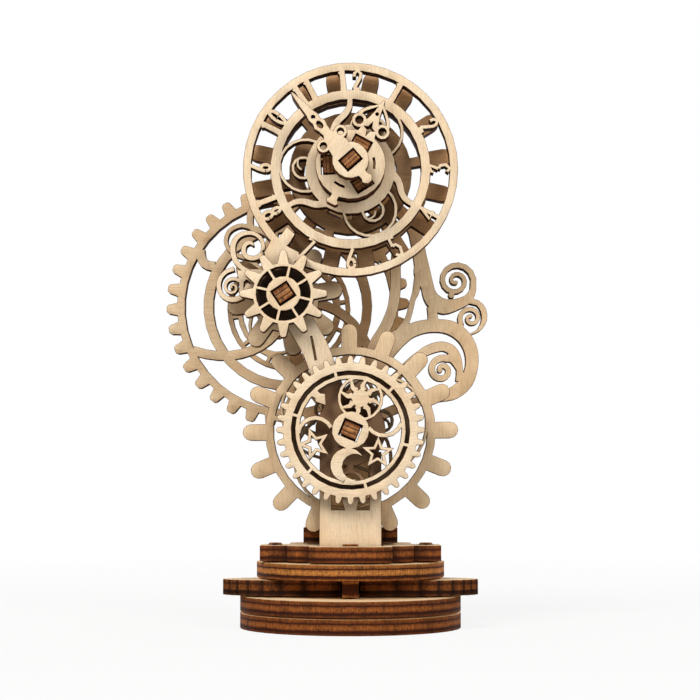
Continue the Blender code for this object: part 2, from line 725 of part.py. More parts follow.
def make_front_plate():
    """Dial, numerals, scrolls, the bridge behind the front pinion, the slotted strut and the stand."""
    plate = Drawing()
    plate.add(disc(DIAL_RADIUS, DIAL_AXIS))
    plate.cut(disc(DIAL_RADIUS - DIAL_RIM_WIDTH, DIAL_AXIS))
    plate.add(disc(NUMBER_RING_RADIUS, DIAL_AXIS))
    ring_bore = NUMBER_RING_RADIUS - NUMBER_RING_WIDTH
    plate.cut(disc(ring_bore, DIAL_AXIS))
    for digit, degrees, feet_inward in NUMERALS:
        add_numeral(plate, digit, degrees, feet_inward, DIAL_AXIS)
    scroll_spokes(plate, DIAL_HUB_RADIUS, ring_bore, DIAL_SCROLL_START, DIAL_AXIS)

    plate.add(disc(MIDDLE_BOSS_RADIUS, MIDDLE_AXIS))
    plate.add(sized(SCROLL_WEB, PLATE_UNIT, MIDDLE_AXIS))
    plate.cut(sized(WEB_HEART, PLATE_UNIT, MIDDLE_AXIS))
    plate.add(*swept(BIG_SCROLL, MIDDLE_AXIS, 2))
    plate.add(*swept(SMALL_SCROLL, MIDDLE_AXIS, 2))
    plate.add(*curled(SMALL_CURL, MIDDLE_AXIS))
    plate.add(sized(BRIDGE_OUTLINE, PLATE_UNIT, MIDDLE_AXIS))
    plate.add(sized(BRIDGE_LEAF, PLATE_UNIT, MIDDLE_AXIS))

    strut = [
        MIDDLE_AXIS,
        between(MIDDLE_AXIS, LOWER_AXIS, 0.24, 0.0005),
        between(MIDDLE_AXIS, LOWER_AXIS, 0.42, 0.0008),
        between(MIDDLE_AXIS, LOWER_AXIS, 0.70, 0.0),
        LOWER_AXIS,
    ]
    plate.add(disc(STAR_SLOT_OUTER + BACK_RING_LAP, LOWER_AXIS))
    plate.cut(disc(STAR_SLOT_INNER - BACK_RING_LAP, LOWER_AXIS))
    plate.add(*stroke(smooth(strut, 4), STRUT_WIDTH))
    plate.add(disc(LOWER_BOSS_RADIUS, LOWER_AXIS))
    slot = [between(MIDDLE_AXIS, LOWER_AXIS, 0.325, 0.0012), between(MIDDLE_AXIS, LOWER_AXIS, 0.48, 0.0)]
    add_stand(plate)

    plate.add(disc(DIAL_HUB_RADIUS, DIAL_AXIS))
    plate.cut(disc(DIAL_BORE_RADIUS, DIAL_AXIS))
    plate.cut(disc(STICK_BORE, MIDDLE_AXIS))
    plate.cut(disc(STICK_BORE, LOWER_AXIS))
    plate.cut(*stroke(slot, STRUT_SLOT_WIDTH))
    cut_sheet("front_plate", plate, FRONT_PLATE_FRONT)


def add_stand(plate):
    """The foot that stands in the base, and the open work between it and the boss of the lower axis."""
    foot = STAND_FOOT
    height = STAND_SOLID_HEIGHT - foot
    plate.add(box(STAND_WIDTH, height, 0.0, (0.0, foot + height / 2)))
    sunk = STAND_SOLID_HEIGHT - STAND_POST_WIDTH / 5
    boss_foot = LOWER_AXIS_HEIGHT - LOWER_BOSS_RADIUS
    for side in (-1, 1):
        edge = side * (STAND_WIDTH - STAND_POST_WIDTH) / 2
        post = [
            (edge, sunk),
            (edge, STAND_SOLID_HEIGHT + STAND_POST_HEIGHT),
            (side * LOWER_BOSS_RADIUS * 0.72, LOWER_AXIS_HEIGHT - LOWER_BOSS_RADIUS * 0.60),
        ]
        plate.add(*stroke(smooth(post, 4), STAND_POST_WIDTH, STAND_POST_WIDTH * 0.9))
    top = STAND_SOLID_HEIGHT + KEYSTONE_HEIGHT
    plate.add(*stroke([(0.0, sunk), (0.0, top)], KEYSTONE_WIDTH * 0.56, KEYSTONE_WIDTH))
    curl_height = (STAND_SOLID_HEIGHT + boss_foot) / 2 + STAND_CURL_LIFT
    plate.add(*hoop(STAND_CURL_RADIUS, STAND_CURL_BAND, (0.0, curl_height)))
    for end, reach in ((boss_foot + SEAT_GAP, 0.9), (STAND_SOLID_HEIGHT + KEYSTONE_HEIGHT / 2, -0.9)):
        tie = [(0.0, end), (0.0, curl_height + reach * STAND_CURL_RADIUS)]
        plate.add(*stroke(tie, STAND_TIE_WIDTH))


# Bands of the rear frame plate, in units from the lower axis: across, up and width
ORNAMENT_BODY = [
    (4.00, 45.31, 2.20), (11.00, 40.11, 2.40), (13.11, 32.82, 2.55), (13.45, 30.19, 3.10),
    (14.00, 28.60, 2.80), (14.50, 27.20, 2.40), (14.85, 25.90, 2.60), (15.70, 24.60, 2.90),
    (17.54, 23.63, 2.93), (20.17, 24.12, 2.10), (22.04, 25.05, 1.73), (22.94, 26.52, 1.28),
    (23.05, 27.49, 1.13),
]
ORNAMENT_NECK = [(15.35, 23.60, 2.00), (15.45, 22.00, 1.85), (15.50, 20.40, 2.20)]
ORNAMENT_SWORD = [
    (12.75, 29.40, 1.50), (12.45, 27.50, 1.30), (12.30, 26.40, 1.30), (11.70, 24.90, 1.05),
    (10.79, 21.38, 1.13), (9.29, 18.94, 1.58), (7.03, 15.94, 1.88),
]
ORNAMENT_RIGHT_BAND = [
    (0.00, 47.70, 2.10), (3.00, 43.65, 2.10), (7.00, 38.65, 2.00), (8.61, 34.69, 1.95), (8.46, 31.32, 1.95),
    (8.46, 27.19, 2.03), (7.86, 23.06, 2.03), (6.36, 19.31, 2.25), (4.22, 15.94, 2.10), (1.78, 9.93, 2.10),
    (0.00, 0.00, 2.10),
]
ORNAMENT_ARCH = [
    (4.03, 11.43, 3.00), (5.72, 13.87, 3.38), (7.86, 16.69, 3.68), (9.47, 17.96, 3.23),
    (11.16, 19.01, 2.78), (13.79, 19.84, 2.51), (16.79, 19.99, 2.48), (19.23, 19.43, 2.70),
    (21.37, 17.74, 2.63), (22.64, 15.19, 2.55), (22.72, 12.19, 2.40), (21.67, 9.37, 2.63),
    (19.60, 7.50, 2.48), (17.16, 6.75, 2.10), (14.16, 6.18, 1.88), (9.29, 4.68, 1.88), (4.03, 2.43, 1.88),
]
ORNAMENT_SECOND_ARCH = [
    (20.62, 9.56, 1.88), (20.47, 11.62, 1.28), (20.02, 13.69, 1.65), (19.04, 15.34, 1.88),
    (17.54, 16.09, 1.80), (15.96, 15.94, 1.88), (14.35, 15.34, 1.80), (12.85, 14.44, 1.50),
    (11.16, 13.12, 1.50), (8.91, 10.68, 1.73), (5.16, 6.93, 1.88),
]
ORNAMENT_JOIN = [(20.32, 11.81, 0.98), (19.56, 13.54, 1.73), (18.59, 13.91, 1.50), (17.90, 13.84, 1.35)]
ORNAMENT_CRESCENT = [
    (21.89, 24.72, 1.13), (23.92, 24.27, 1.05), (24.97, 22.88, 1.13), (25.12, 21.11, 1.05),
    (24.52, 19.76, 0.83), (23.69, 18.94, 0.49), (22.60, 18.45, 0.36), (22.00, 18.00, 0.40),
]
ORNAMENT_SIDE_ROOT = [(20.00, 18.50, 1.60), (20.62, 19.60, 1.10), (20.85, 20.30, 0.98)]
# Scrolls: centre across and up, outer and inner radius, start and sweep in degrees, first and last width
ORNAMENT_CURLS = [
    (19.79, 28.50, 3.45, 0.38, -20.0, 650.0, 1.13, 0.68),
    (17.16, 11.62, 2.40, 0.41, 62.0, 480.0, 1.35, 0.90),
    (22.60, 21.45, 2.18, 0.34, 218.0, -480.0, 0.98, 0.64),
]
FLEURON = (18.96, 25.80)
FLEURON_RADIUS = 0.64
# Bands at the left, in units from the dial axis
LEFT_STEM = [
    (-1.0, -1.5, 2.2), (-8.5, -3.6, 2.0), (-15.0, -4.0, 1.6), (-18.4, -5.6, 1.3), (-18.9, -8.0, 1.25),
    (-18.4, -9.3, 1.2), (-16.0, -10.2, 1.2), (-14.0, -13.0, 1.6), (-12.1, -23.1, 1.8),
]
LEFT_ARC = [
    (-18.95, -9.10, 0.9), (-20.40, -8.80, 0.8), (-21.66, -9.08, 0.8), (-22.80, -9.85, 0.8),
    (-23.36, -10.99, 0.8), (-23.40, -12.20, 0.8), (-22.60, -13.60, 0.8), (-20.80, -14.60, 0.8),
    (-18.00, -16.00, 0.9), (-12.10, -23.10, 1.2),
]


def make_ornament_plate():
    """The rear frame plate: bearings on the three axes, a foot, long bands and the scrolls at the right."""
    plate = Drawing()
    left_band = [
        DIAL_AXIS,
        between(DIAL_AXIS, MIDDLE_AXIS, 0.5, -ORNAMENT_BAND_BOW),
        MIDDLE_AXIS,
        between(MIDDLE_AXIS, LOWER_AXIS, 0.5, -ORNAMENT_BAND_BOW),
        LOWER_AXIS,
    ]
    plate.add(*stroke(smooth(left_band), ORNAMENT_BAND_WIDTH))
    foot = STAND_FOOT
    plate.add(box(ORNAMENT_FOOT_WIDTH, LOWER_AXIS_HEIGHT - foot, 0.0, (0.0, (LOWER_AXIS_HEIGHT + foot) / 2)))
    for axis in (DIAL_AXIS, MIDDLE_AXIS, LOWER_AXIS):
        plate.add(disc(ORNAMENT_HUB_RADIUS, axis))
    for table in (ORNAMENT_RIGHT_BAND, ORNAMENT_BODY, ORNAMENT_SWORD, ORNAMENT_ARCH, ORNAMENT_SECOND_ARCH):
        plate.add(*swept(table, LOWER_AXIS))
    for table in (ORNAMENT_NECK, ORNAMENT_JOIN, ORNAMENT_CRESCENT, ORNAMENT_SIDE_ROOT):
        plate.add(*swept(table, LOWER_AXIS, 2))
    for row in ORNAMENT_CURLS:
        plate.add(*curled(row, LOWER_AXIS))
    plate.add(disc(FLEURON_RADIUS * PLATE_UNIT, sized([FLEURON], PLATE_UNIT, LOWER_AXIS)[0]))
    plate.add(*swept(LEFT_STEM, DIAL_AXIS))
    plate.add(*swept(LEFT_ARC, DIAL_AXIS, 2))

    plate.cut(disc(MINUTE_BORE, DIAL_AXIS))
    plate.cut(disc(STICK_BORE, MIDDLE_AXIS))
    plate.cut(disc(STICK_BORE, LOWER_AXIS))
    cut_sheet("ornament_plate", plate, ORNAMENT_FRONT)


def wing_outline():
    """The long rounded plate with its scalloped edge."""
    outline = []
    steps = WING_SCALLOPS * 4
    for i in range(steps):
        angle = 2 * math.pi * i / steps
        cosine = math.cos(angle)
        bulge = WING_SCALLOP_DEPTH * abs(math.sin(WING_SCALLOPS * angle / 2))
        reach_x = WING_REACH - WING_SCALLOP_DEPTH + bulge
        reach_y = WING_HALF_DEPTH - WING_SCALLOP_DEPTH + bulge
        x = reach_x * math.copysign(abs(cosine) ** WING_SQUARENESS, cosine)
        outline.append((x, WING_MIDDLE + reach_y * math.sin(angle)))
    return outline


def rosette_outline():
    """A plate with a wide arm to the front and back and a narrower one to each side, their ends faceted."""
    half_arm = ROSETTE_ARM_WIDTH / 2
    half_facet = ROSETTE_FACET_WIDTH / 2
    shoulder = ROSETTE_REACH - ROSETTE_FACET_DROP
    corner = half_arm + ROSETTE_NOTCH
    beyond = corner + ROSETTE_NOTCH
    side_front = PEG_SETBACK - ROSETTE_SIDE_ARM_WIDTH / 2
    side_back = PEG_SETBACK + ROSETTE_SIDE_ARM_WIDTH / 2
    right = [
        (half_facet, -ROSETTE_REACH),
        (half_arm, -shoulder),
        (half_arm, -beyond),
        (corner, -beyond),
        (beyond, -corner),
        (beyond, side_front),
        (shoulder, side_front),
        (ROSETTE_REACH, side_front + ROSETTE_FACET_DROP),
        (ROSETTE_REACH, side_back - ROSETTE_FACET_DROP),
        (shoulder, side_back),
        (beyond, side_back),
        (beyond, corner),
        (corner, beyond),
        (half_arm, beyond),
        (half_arm, shoulder),
        (half_facet, ROSETTE_REACH),
    ]
    return right + [(-x, y) for x, y in reversed(right)]


def make_base():
    """Six lying sheets, one above the other, with the key, the two pegs and the wedge that hold them."""
    foot_disc = Drawing()
    foot_disc.add(disc(FOOT_RADIUS))
    cut_sheet("base_disc_bottom", foot_disc, 0.0, lying=True, colour=BURNT_COLOUR)
    cut_sheet("base_disc_second", foot_disc, LEVEL, lying=True, colour=BURNT_COLOUR)

    pegs = [(side * PEG_SPREAD, PEG_SETBACK) for side in (-1, 1)]
    peg_holes = [disc(PEG_RADIUS + SEAT_GAP, peg) for peg in pegs]
    wings = Drawing()
    wings.add(wing_outline())
    key_back = KEY_FRONT + KEY_LENGTH
    key_middle = (0.0, (KEY_FRONT + key_back) / 2)
    wings.cut(box(KEY_WIDTH + 2 * SEAT_GAP, KEY_LENGTH + 2 * SEAT_GAP, 0.0, key_middle))
    wings.cut(*peg_holes)
    cut_sheet("base_wing_plate", wings, 2 * LEVEL, lying=True, colour=BURNT_COLOUR)
    key = Drawing()
    key.add(box(KEY_WIDTH, KEY_LENGTH, 0.0, key_middle))
    cut_sheet("base_key", key, 2 * LEVEL, lying=True, colour=BURNT_COLOUR)

    upper_disc = Drawing()
    upper_disc.add(disc(UPPER_DISC_RADIUS))
    upper_disc.cut(*peg_holes)
    cut_sheet("base_disc_upper", upper_disc, 3 * LEVEL, lying=True, colour=BURNT_COLOUR)

    slot_depth = SHEET + 2 * SEAT_GAP
    stand_middle = (0.0, FRONT_PLATE_FRONT + SHEET / 2)
    rear_middle = (0.0, ORNAMENT_FRONT + SHEET / 2)
    rear_slot = box(ORNAMENT_FOOT_WIDTH + 2 * SEAT_GAP, slot_depth, 0.0, rear_middle)
    wedge_middle = (0.0, FRONT_PLATE_FRONT - SEAT_GAP - WEDGE_DEPTH / 2)
    rosette = Drawing()
    rosette.add(rosette_outline())
    rosette.cut(box(STAND_WIDTH + 2 * SEAT_GAP, slot_depth, 0.0, stand_middle))
    rosette.cut(rear_slot)
    rosette.cut(box(WEDGE_WIDTH + 2 * SEAT_GAP, WEDGE_DEPTH + 3 * SEAT_GAP, 0.0, wedge_middle))
    rosette.cut(*peg_holes)
    cut_sheet("base_rosette", rosette, STAND_FOOT, lying=True, colour=BURNT_COLOUR)
    wedge = Drawing()
    wedge.add(box(WEDGE_WIDTH, WEDGE_DEPTH, 0.0, wedge_middle))
    cut_sheet("stand_wedge", wedge, STAND_FOOT, thickness=SHEET + PEG_PROUD, lying=True, colour=BURNT_COLOUR)

    block = Drawing()
    block.add(box(BLOCK_WIDTH, BLOCK_DEPTH, 0.0, (0.0, BLOCK_FRONT + BLOCK_DEPTH / 2)))
    block.cut(rear_slot)
    cut_sheet("base_top_block", block, 5 * LEVEL, lying=True, colour=BURNT_COLOUR)

    for name, peg in zip(("base_peg_left", "base_peg_right"), pegs):
        dowel = Drawing()
        dowel.add(disc(PEG_RADIUS, peg))
        height = 3 * LEVEL - SEAT_GAP + PEG_PROUD
        cut_sheet(name, dowel, 2 * LEVEL, thickness=height, lying=True, colour=BURNT_COLOUR)


def make_winding_train():
    """Everything on the middle stick: front pinion, lobed gear, drive gear, hand wheel and their rings."""
    axle = axle_at("middle_axle", MIDDLE_AXIS)
    stick(
        "middle_shaft",
        STICK_WIDTH,
        STICK_DEPTH,
        MIDDLE_TURN,
        FRONT_GEARS_FRONT - STICK_PROUD,
        WHEEL_BACK + STICK_PROUD,
        axle,
    )
    seat = square_hole(STICK_DEPTH, MIDDLE_TURN)

    pinion = Drawing()
    pinion.add(
        toothed_ring(
            FRONT_PINION_TEETH,
            FRONT_PINION_ROOT,
            FRONT_PINION_TIP,
            FRONT_PINION_TOOTH_ROOT,
            FRONT_PINION_TOOTH_TIP,
            90.0,
            TOOTH_BEVEL,
        )
    )
    for k in range(FRONT_PINION_SPOKES):
        inner_half = math.degrees(FRONT_PINION_SPOKE_WIDTH / 2 / FRONT_PINION_WINDOW_INNER)
        outer_half = math.degrees(FRONT_PINION_SPOKE_WIDTH / 2 / FRONT_PINION_WINDOW_OUTER)
        start = 77.0 + 360.0 / FRONT_PINION_SPOKES * k
        end = start + 360.0 / FRONT_PINION_SPOKES
        window = arc(FRONT_PINION_WINDOW_OUTER, start + outer_half, end - outer_half)
        window += arc(FRONT_PINION_WINDOW_INNER, end - inner_half, start + inner_half)
        pinion.cut(window)
    pinion.cut(seat)
    cut_sheet("front_pinion", pinion, FRONT_GEARS_FRONT, axle)

    lobed = finger_gear_drawing(LOBES, LOBE_ROOT_RADIUS, LOBE_TIP_RADIUS, LOBE_WIDTH, LOBE_PHASE)
    lobed.cut(seat)
    cut_sheet("finger_gear", lobed, GEAR_LAYER_FRONT, axle)

    drive = Drawing()
    drive.add(
        toothed_ring(
            DRIVE_TEETH,
            DRIVE_ROOT_RADIUS,
            DRIVE_TIP_RADIUS,
            DRIVE_TOOTH_ROOT,
            DRIVE_TOOTH_TIP,
            drive_phase(),
            DRIVE_TOOTH_BEVEL,
        )
    )
    drive.cut(disc(DRIVE_RIM_BORE))
    drive.add(disc(DRIVE_RING_RADIUS))
    drive.cut(disc(DRIVE_RING_RADIUS - DRIVE_RING_WIDTH))
    steps = 9
    outer = DRIVE_RIM_BORE + SEAT_GAP
    for k in range(DRIVE_SPOKES):
        turn = 360.0 / DRIVE_SPOKES * k
        spoke = []
        for i in range(steps + 1):
            radius = outer + (DRIVE_HUB_RADIUS * 0.8 - outer) * i / steps
            spoke.append(polar(radius, turn + DRIVE_SPOKE_START + DRIVE_SPOKE_SWEEP * i / steps))
        drive.add(*stroke(spoke, DRIVE_SPOKE_WIDTH))
        inner = DRIVE_RING_RADIUS - SEAT_GAP
        hook = [polar(outer + (inner - outer) * share, turn + degrees) for share, degrees in DRIVE_HOOK]
        drive.add(*stroke(smooth(hook, 2), DRIVE_SPOKE_WIDTH))
    drive.add(disc(DRIVE_HUB_RADIUS))
    drive.cut(seat)
    cut_sheet("drive_gear", drive, DRIVE_FRONT, axle)

    wheel = Drawing()
    wheel.add(disc(WHEEL_RADIUS))
    wheel.cut(disc(WHEEL_RADIUS - WHEEL_RIM_WIDTH))
    wheel.add(disc(WHEEL_RING_RADIUS))
    wheel.cut(disc(WHEEL_RING_RADIUS - WHEEL_RING_WIDTH))
    for k in range(WHEEL_LINKS):
        degrees = 360.0 / WHEEL_LINKS * k + 8.0
        link = [polar(WHEEL_RING_RADIUS - SEAT_GAP, degrees), polar(WHEEL_RADIUS - SEAT_GAP, degrees)]
        wheel.add(*stroke(link, WHEEL_LINK_WIDTH))
    scroll_spokes(wheel, WHEEL_HUB_RADIUS, WHEEL_RING_RADIUS - WHEEL_RING_WIDTH, 150.0)
    wheel.add(disc(WHEEL_HUB_RADIUS))
    wheel.cut(seat)
    cut_sheet("hand_wheel", wheel, WHEEL_FRONT, axle)

    washer_start = FRONT_PLATE_BACK + SEAT_GAP
    spacer("middle_washer", STICK_DEPTH, MIDDLE_TURN, washer_start, axle, WASHER_THICKNESS)
    starts = [
        GEAR_LAYER_BACK + SEAT_GAP,
        ORNAMENT_BACK + SEAT_GAP,
        ORNAMENT_BACK + SEAT_GAP + LEVEL,
        DRIVE_BACK + SEAT_GAP,
    ]
    for number, start in enumerate(starts, 1):
        spacer(f"middle_spacer_{number}", STICK_DEPTH, MIDDLE_TURN, start, axle)


def heading(start, end):
    """The direction from one axis to another, in degrees."""
    return math.degrees(math.atan2(end[1] - start[1], end[0] - start[0]))


def meshed_phase(line_from_driver, driver_phase, driver_teeth, driven_teeth):
    """The angle of a driven tooth that falls midway between two driver teeth on the line of centres."""
    offset = (line_from_driver - driver_phase) * driver_teeth / driven_teeth
    return line_from_driver + 180.0 + offset + 180.0 / driven_teeth


def drive_phase():
    """The drive gear's teeth at rest, in mesh with the minute pinion."""
    line = heading(DIAL_AXIS, MIDDLE_AXIS)
    return meshed_phase(line, MINUTE_TURN + MINUTE_PINION_PHASE, PINION_TEETH, DRIVE_TEETH)


def make_lower_train():
    """Everything on the lower stick: star gear, sixteen-fingered ring gear and their rings."""
    axle = axle_at("lower_axle", LOWER_AXIS)
    lock_front = ORNAMENT_BACK + SEAT_GAP
    stick(
        "lower_shaft",
        STICK_WIDTH,
        STICK_DEPTH,
        LOWER_TURN,
        FRONT_GEARS_FRONT - STICK_PROUD,
        lock_front + SHEET + STICK_PROUD,
        axle,
    )
    seat = square_hole(STICK_DEPTH, LOWER_TURN)
    make_star_gear(axle, seat)

    phase = meshed_phase(heading(MIDDLE_AXIS, LOWER_AXIS), LOBE_PHASE, LOBES, FINGERS)
    ring = finger_gear_drawing(FINGERS, RING_GEAR_ROOT, RING_GEAR_TIP, FINGER_WIDTH, phase)
    ring.cut(disc(RING_GEAR_BORE))
    scroll_spokes(ring, RING_GEAR_HUB, RING_GEAR_BORE, -70.0)
    ring.add(disc(RING_GEAR_HUB))
    ring.cut(seat)
    cut_sheet("ring_gear", ring, GEAR_LAYER_FRONT, axle)

    spacer("lower_washer", STICK_DEPTH, LOWER_TURN, FRONT_PLATE_BACK + SEAT_GAP, axle, WASHER_THICKNESS)
    spacer("lower_spacer", STICK_DEPTH, LOWER_TURN, GEAR_LAYER_BACK + SEAT_GAP, axle)
    spacer("lower_lock_ring", STICK_DEPTH, LOWER_TURN, lock_front, axle)


def star_outline(radius, points_phase, centre):
    """A five-pointed star."""
    return [
        polar(radius if i % 2 == 0 else radius * 0.44, points_phase + 36.0 * i, centre) for i in range(10)
    ]


# The figures of the star gear, in units from its axis
SUN_CENTRE = (1.8, 5.7)
SUN_HOOP_RADIUS = 3.84
SUN_DISC_RADIUS = 1.63
SUN_RAYS = 8
SUN_RAY = [(1.45, 0.0, 1.1), (2.35, 14.0, 0.9), (3.70, 4.0, 0.45)]
MOON = ((-0.5, -6.3), 3.15)
MOON_SHADOW = ((0.8, -6.6), 2.3)
STARS = [((-6.5, -2.55), 3.2, 37.0), ((4.9, -4.1), 3.1, 16.0)]
STAR_HOLE_RADIUS = 1.6
STAR_ARCS = [((-6.3, -0.9), 3.1, 25.0, 175.0), ((6.0, 2.4), 3.4, 215.0, 340.0)]
CLOUD_FLAG = [
    (-7.40, 6.20), (-6.40, 5.75), (-6.20, 5.05), (-4.40, 4.40), (-4.55, 6.55), (-5.45, 6.60), (-5.80, 7.00),
    (-6.10, 7.50),
]


def make_star_gear(axle, seat):
    """The front disc of the lower axis: fine teeth, a slotted ring, a sun, two stars and a crescent moon."""
    gear = Drawing()
    gear.add(
        toothed_ring(
            STAR_TEETH,
            STAR_ROOT_RADIUS,
            STAR_TIP_RADIUS,
            STAR_TOOTH_ROOT,
            STAR_TOOTH_TIP,
            90.0,
            TOOTH_BEVEL,
        )
    )
    half = math.degrees(STAR_BRIDGE_WIDTH / 2 / STAR_SLOT_INNER)
    for k in range(STAR_BRIDGES):
        start = STAR_BRIDGE_PHASE + 360.0 / STAR_BRIDGES * k + half
        end = start + 360.0 / STAR_BRIDGES - 2 * half
        gear.cut(sector(STAR_SLOT_INNER, STAR_SLOT_OUTER, start, end))
    gear.cut(disc(STAR_WINDOW_RADIUS))

    sun = sized([SUN_CENTRE], STAR_UNIT)[0]
    gear.add(*hoop(SUN_HOOP_RADIUS * STAR_UNIT, STAR_SUN_BAND, sun))
    gear.add(disc(SUN_DISC_RADIUS * STAR_UNIT, sun))
    for k in range(SUN_RAYS):
        turn = 22.0 + 360.0 / SUN_RAYS * k
        ray = []
        for radius, lean, width in SUN_RAY:
            ray.append((*polar(radius * STAR_UNIT, turn + lean, sun), width * STAR_UNIT))
        gear.add(*band(smooth(ray, 2)))

    for (centre, radius), kept in ((MOON, True), (MOON_SHADOW, False)):
        outline = disc(radius * STAR_UNIT, sized([centre], STAR_UNIT)[0])
        gear.shapes.append((kept, outline))
    for centre, radius, first, last in STAR_ARCS:
        gear.add(*stroke(arc(radius * STAR_UNIT, first, last, sized([centre], STAR_UNIT)[0]), STAR_BAND))
    for centre, radius, phase in STARS:
        middle = sized([centre], STAR_UNIT)[0]
        gear.add(star_outline(radius * STAR_UNIT, phase, middle))
        gear.cut(star_outline(STAR_HOLE_RADIUS * STAR_UNIT, phase, middle))
    gear.add(sized(CLOUD_FLAG, STAR_UNIT))

    gear.add(disc(STAR_HUB_RADIUS))
    gear.cut(seat)
    cut_sheet("star_gear", gear, FRONT_GEARS_FRONT, axle)


# One side of the hour hand in units: along the hand from the dial's axis, and out from its middle line
HOUR_HAND_SIDE = [
    (5.06, -1.90), (7.00, -1.50), (7.80, -1.70), (8.90, -1.10), (10.20, -0.70), (11.80, -0.42),
    (13.10, -0.14),
]
HOUR_HAND_BROW = [(8.8, 3.0, 0.70), (10.0, 2.3, 0.65), (11.2, 1.1, 0.55), (12.0, 0.2, 0.50)]
HOUR_HAND_TAIL = [(5.70, -0.70), (6.90, -0.70), (7.50, -1.20), (8.00, -0.80)]
HOUR_HAND_DIAMOND = [
    (8.55, 0.0), (7.52, 0.32), (7.20, 1.05), (6.88, 0.32), (5.85, 0.0), (6.88, -0.32), (7.20, -1.05),
    (7.52, -0.32),
]
HOUR_HAND_DOT = (10.2, 0.0)
HOUR_HAND_DOT_RADIUS = 0.30
HOUR_EYE = (7.80, 2.35)
HOUR_EYE_RADIUS = 1.38
HOUR_EYE_HOLE = 0.74


def make_hour_train():
    """The hour hand with its disc, three pegs, the bearing disc in the dial and the hour gear behind it."""
    axle = axle_at("hour_axle", DIAL_AXIS)
    peg_angles = [HOUR_PEG_ANGLE + 120.0 * k for k in range(3)]
    peg_holes = []
    for degrees in peg_angles:
        centre = polar(HOUR_PEG_RADIUS, degrees)
        hole = box(HOUR_PEG_DEPTH + 2 * SEAT_GAP, HOUR_PEG_WIDTH + 2 * SEAT_GAP, degrees, centre)
        peg_holes.append(hole)

    hand = Drawing()
    hand.add(disc(HOUR_DISC_RADIUS))
    shape = Drawing()
    lower_side = sized(HOUR_HAND_SIDE, HOUR_HAND_UNIT)
    shape.add(lower_side + [(u, -v) for u, v in reversed(lower_side)])
    for side in (-1, 1):
        eye = (HOUR_EYE[0] * HOUR_HAND_UNIT, side * HOUR_EYE[1] * HOUR_HAND_UNIT)
        shape.add(disc(HOUR_EYE_RADIUS * HOUR_HAND_UNIT, eye))
        brow = [(u, side * v, width) for u, v, width in sized(HOUR_HAND_BROW, HOUR_HAND_UNIT)]
        shape.add(*band(smooth(brow, 3)))
        shape.cut(disc(HOUR_EYE_HOLE * HOUR_HAND_UNIT, eye))
    shape.cut(sized(HOUR_HAND_DIAMOND, HOUR_HAND_UNIT))
    shape.cut(disc(HOUR_HAND_DOT_RADIUS * HOUR_HAND_UNIT, sized([HOUR_HAND_DOT], HOUR_HAND_UNIT)[0]))
    for kept, outline in shape.shapes:
        hand.shapes.append((kept, moved(outline, HOUR_HAND_ANGLE)))
    tail = sized(HOUR_HAND_TAIL, HOUR_HAND_UNIT)
    hand.add(moved(tail + [(u, -v) for u, v in reversed(tail)], HOUR_HAND_ANGLE + 182.0))
    for k in range(3):
        middle = HOUR_PEG_ANGLE - 60.0 + 120.0 * k
        first = middle - HOUR_SLOT_HALF_ANGLE
        last = middle + HOUR_SLOT_HALF_ANGLE
        half_width = HOUR_SLOT_WIDTH / 2
        hand.cut(sector(HOUR_SLOT_RADIUS - half_width, HOUR_SLOT_RADIUS + half_width, first, last))
    hand.cut(disc(MINUTE_BORE))
    hand.cut(*peg_holes)
    cut_sheet("hour_hand", hand, HOUR_HAND_FRONT, axle)

    bearing = Drawing()
    bearing.add(disc(DIAL_BORE_RADIUS - RUN_CLEARANCE))
    bearing.cut(disc(MINUTE_BORE))
    bearing.cut(*peg_holes)
    cut_sheet("hour_bearing_disc", bearing, FRONT_PLATE_FRONT, axle)

    phase = meshed_phase(heading(MIDDLE_AXIS, DIAL_AXIS), LOBE_PHASE, LOBES, FINGERS)
    gear = finger_gear_drawing(FINGERS, HOUR_GEAR_ROOT, HOUR_GEAR_TIP, FINGER_WIDTH, phase)
    gear.cut(disc(HOUR_GEAR_BORE))
    gear.add(disc(HOUR_GEAR_DISC))
    for k in range(6):
        degrees = phase + HOUR_SPOKE_OFFSET + 60.0 * k
        path = [polar(HOUR_GEAR_DISC - SEAT_GAP, degrees), polar(HOUR_GEAR_BORE + SEAT_GAP, degrees)]
        gear.add(*stroke(path, HOUR_SPOKE_WIDTH))
    for k in range(6):
        start = phase + 60.0 * k + 8.0
        gear.cut(sector(HOUR_GEAR_SLOT_INNER, HOUR_GEAR_SLOT_OUTER, start, start + 44.0))
    gear.cut(disc(MINUTE_BORE))
    gear.cut(*peg_holes)
    cut_sheet("hour_gear", gear, GEAR_LAYER_FRONT, axle)

    for number, degrees in enumerate(peg_angles, 1):
        stick(
            f"hour_peg_{number}",
            HOUR_PEG_DEPTH,
            HOUR_PEG_WIDTH,
            degrees,
            HOUR_HAND_FRONT - STICK_PROUD,
            GEAR_LAYER_BACK,
            axle,
            polar(HOUR_PEG_RADIUS, degrees),
        )


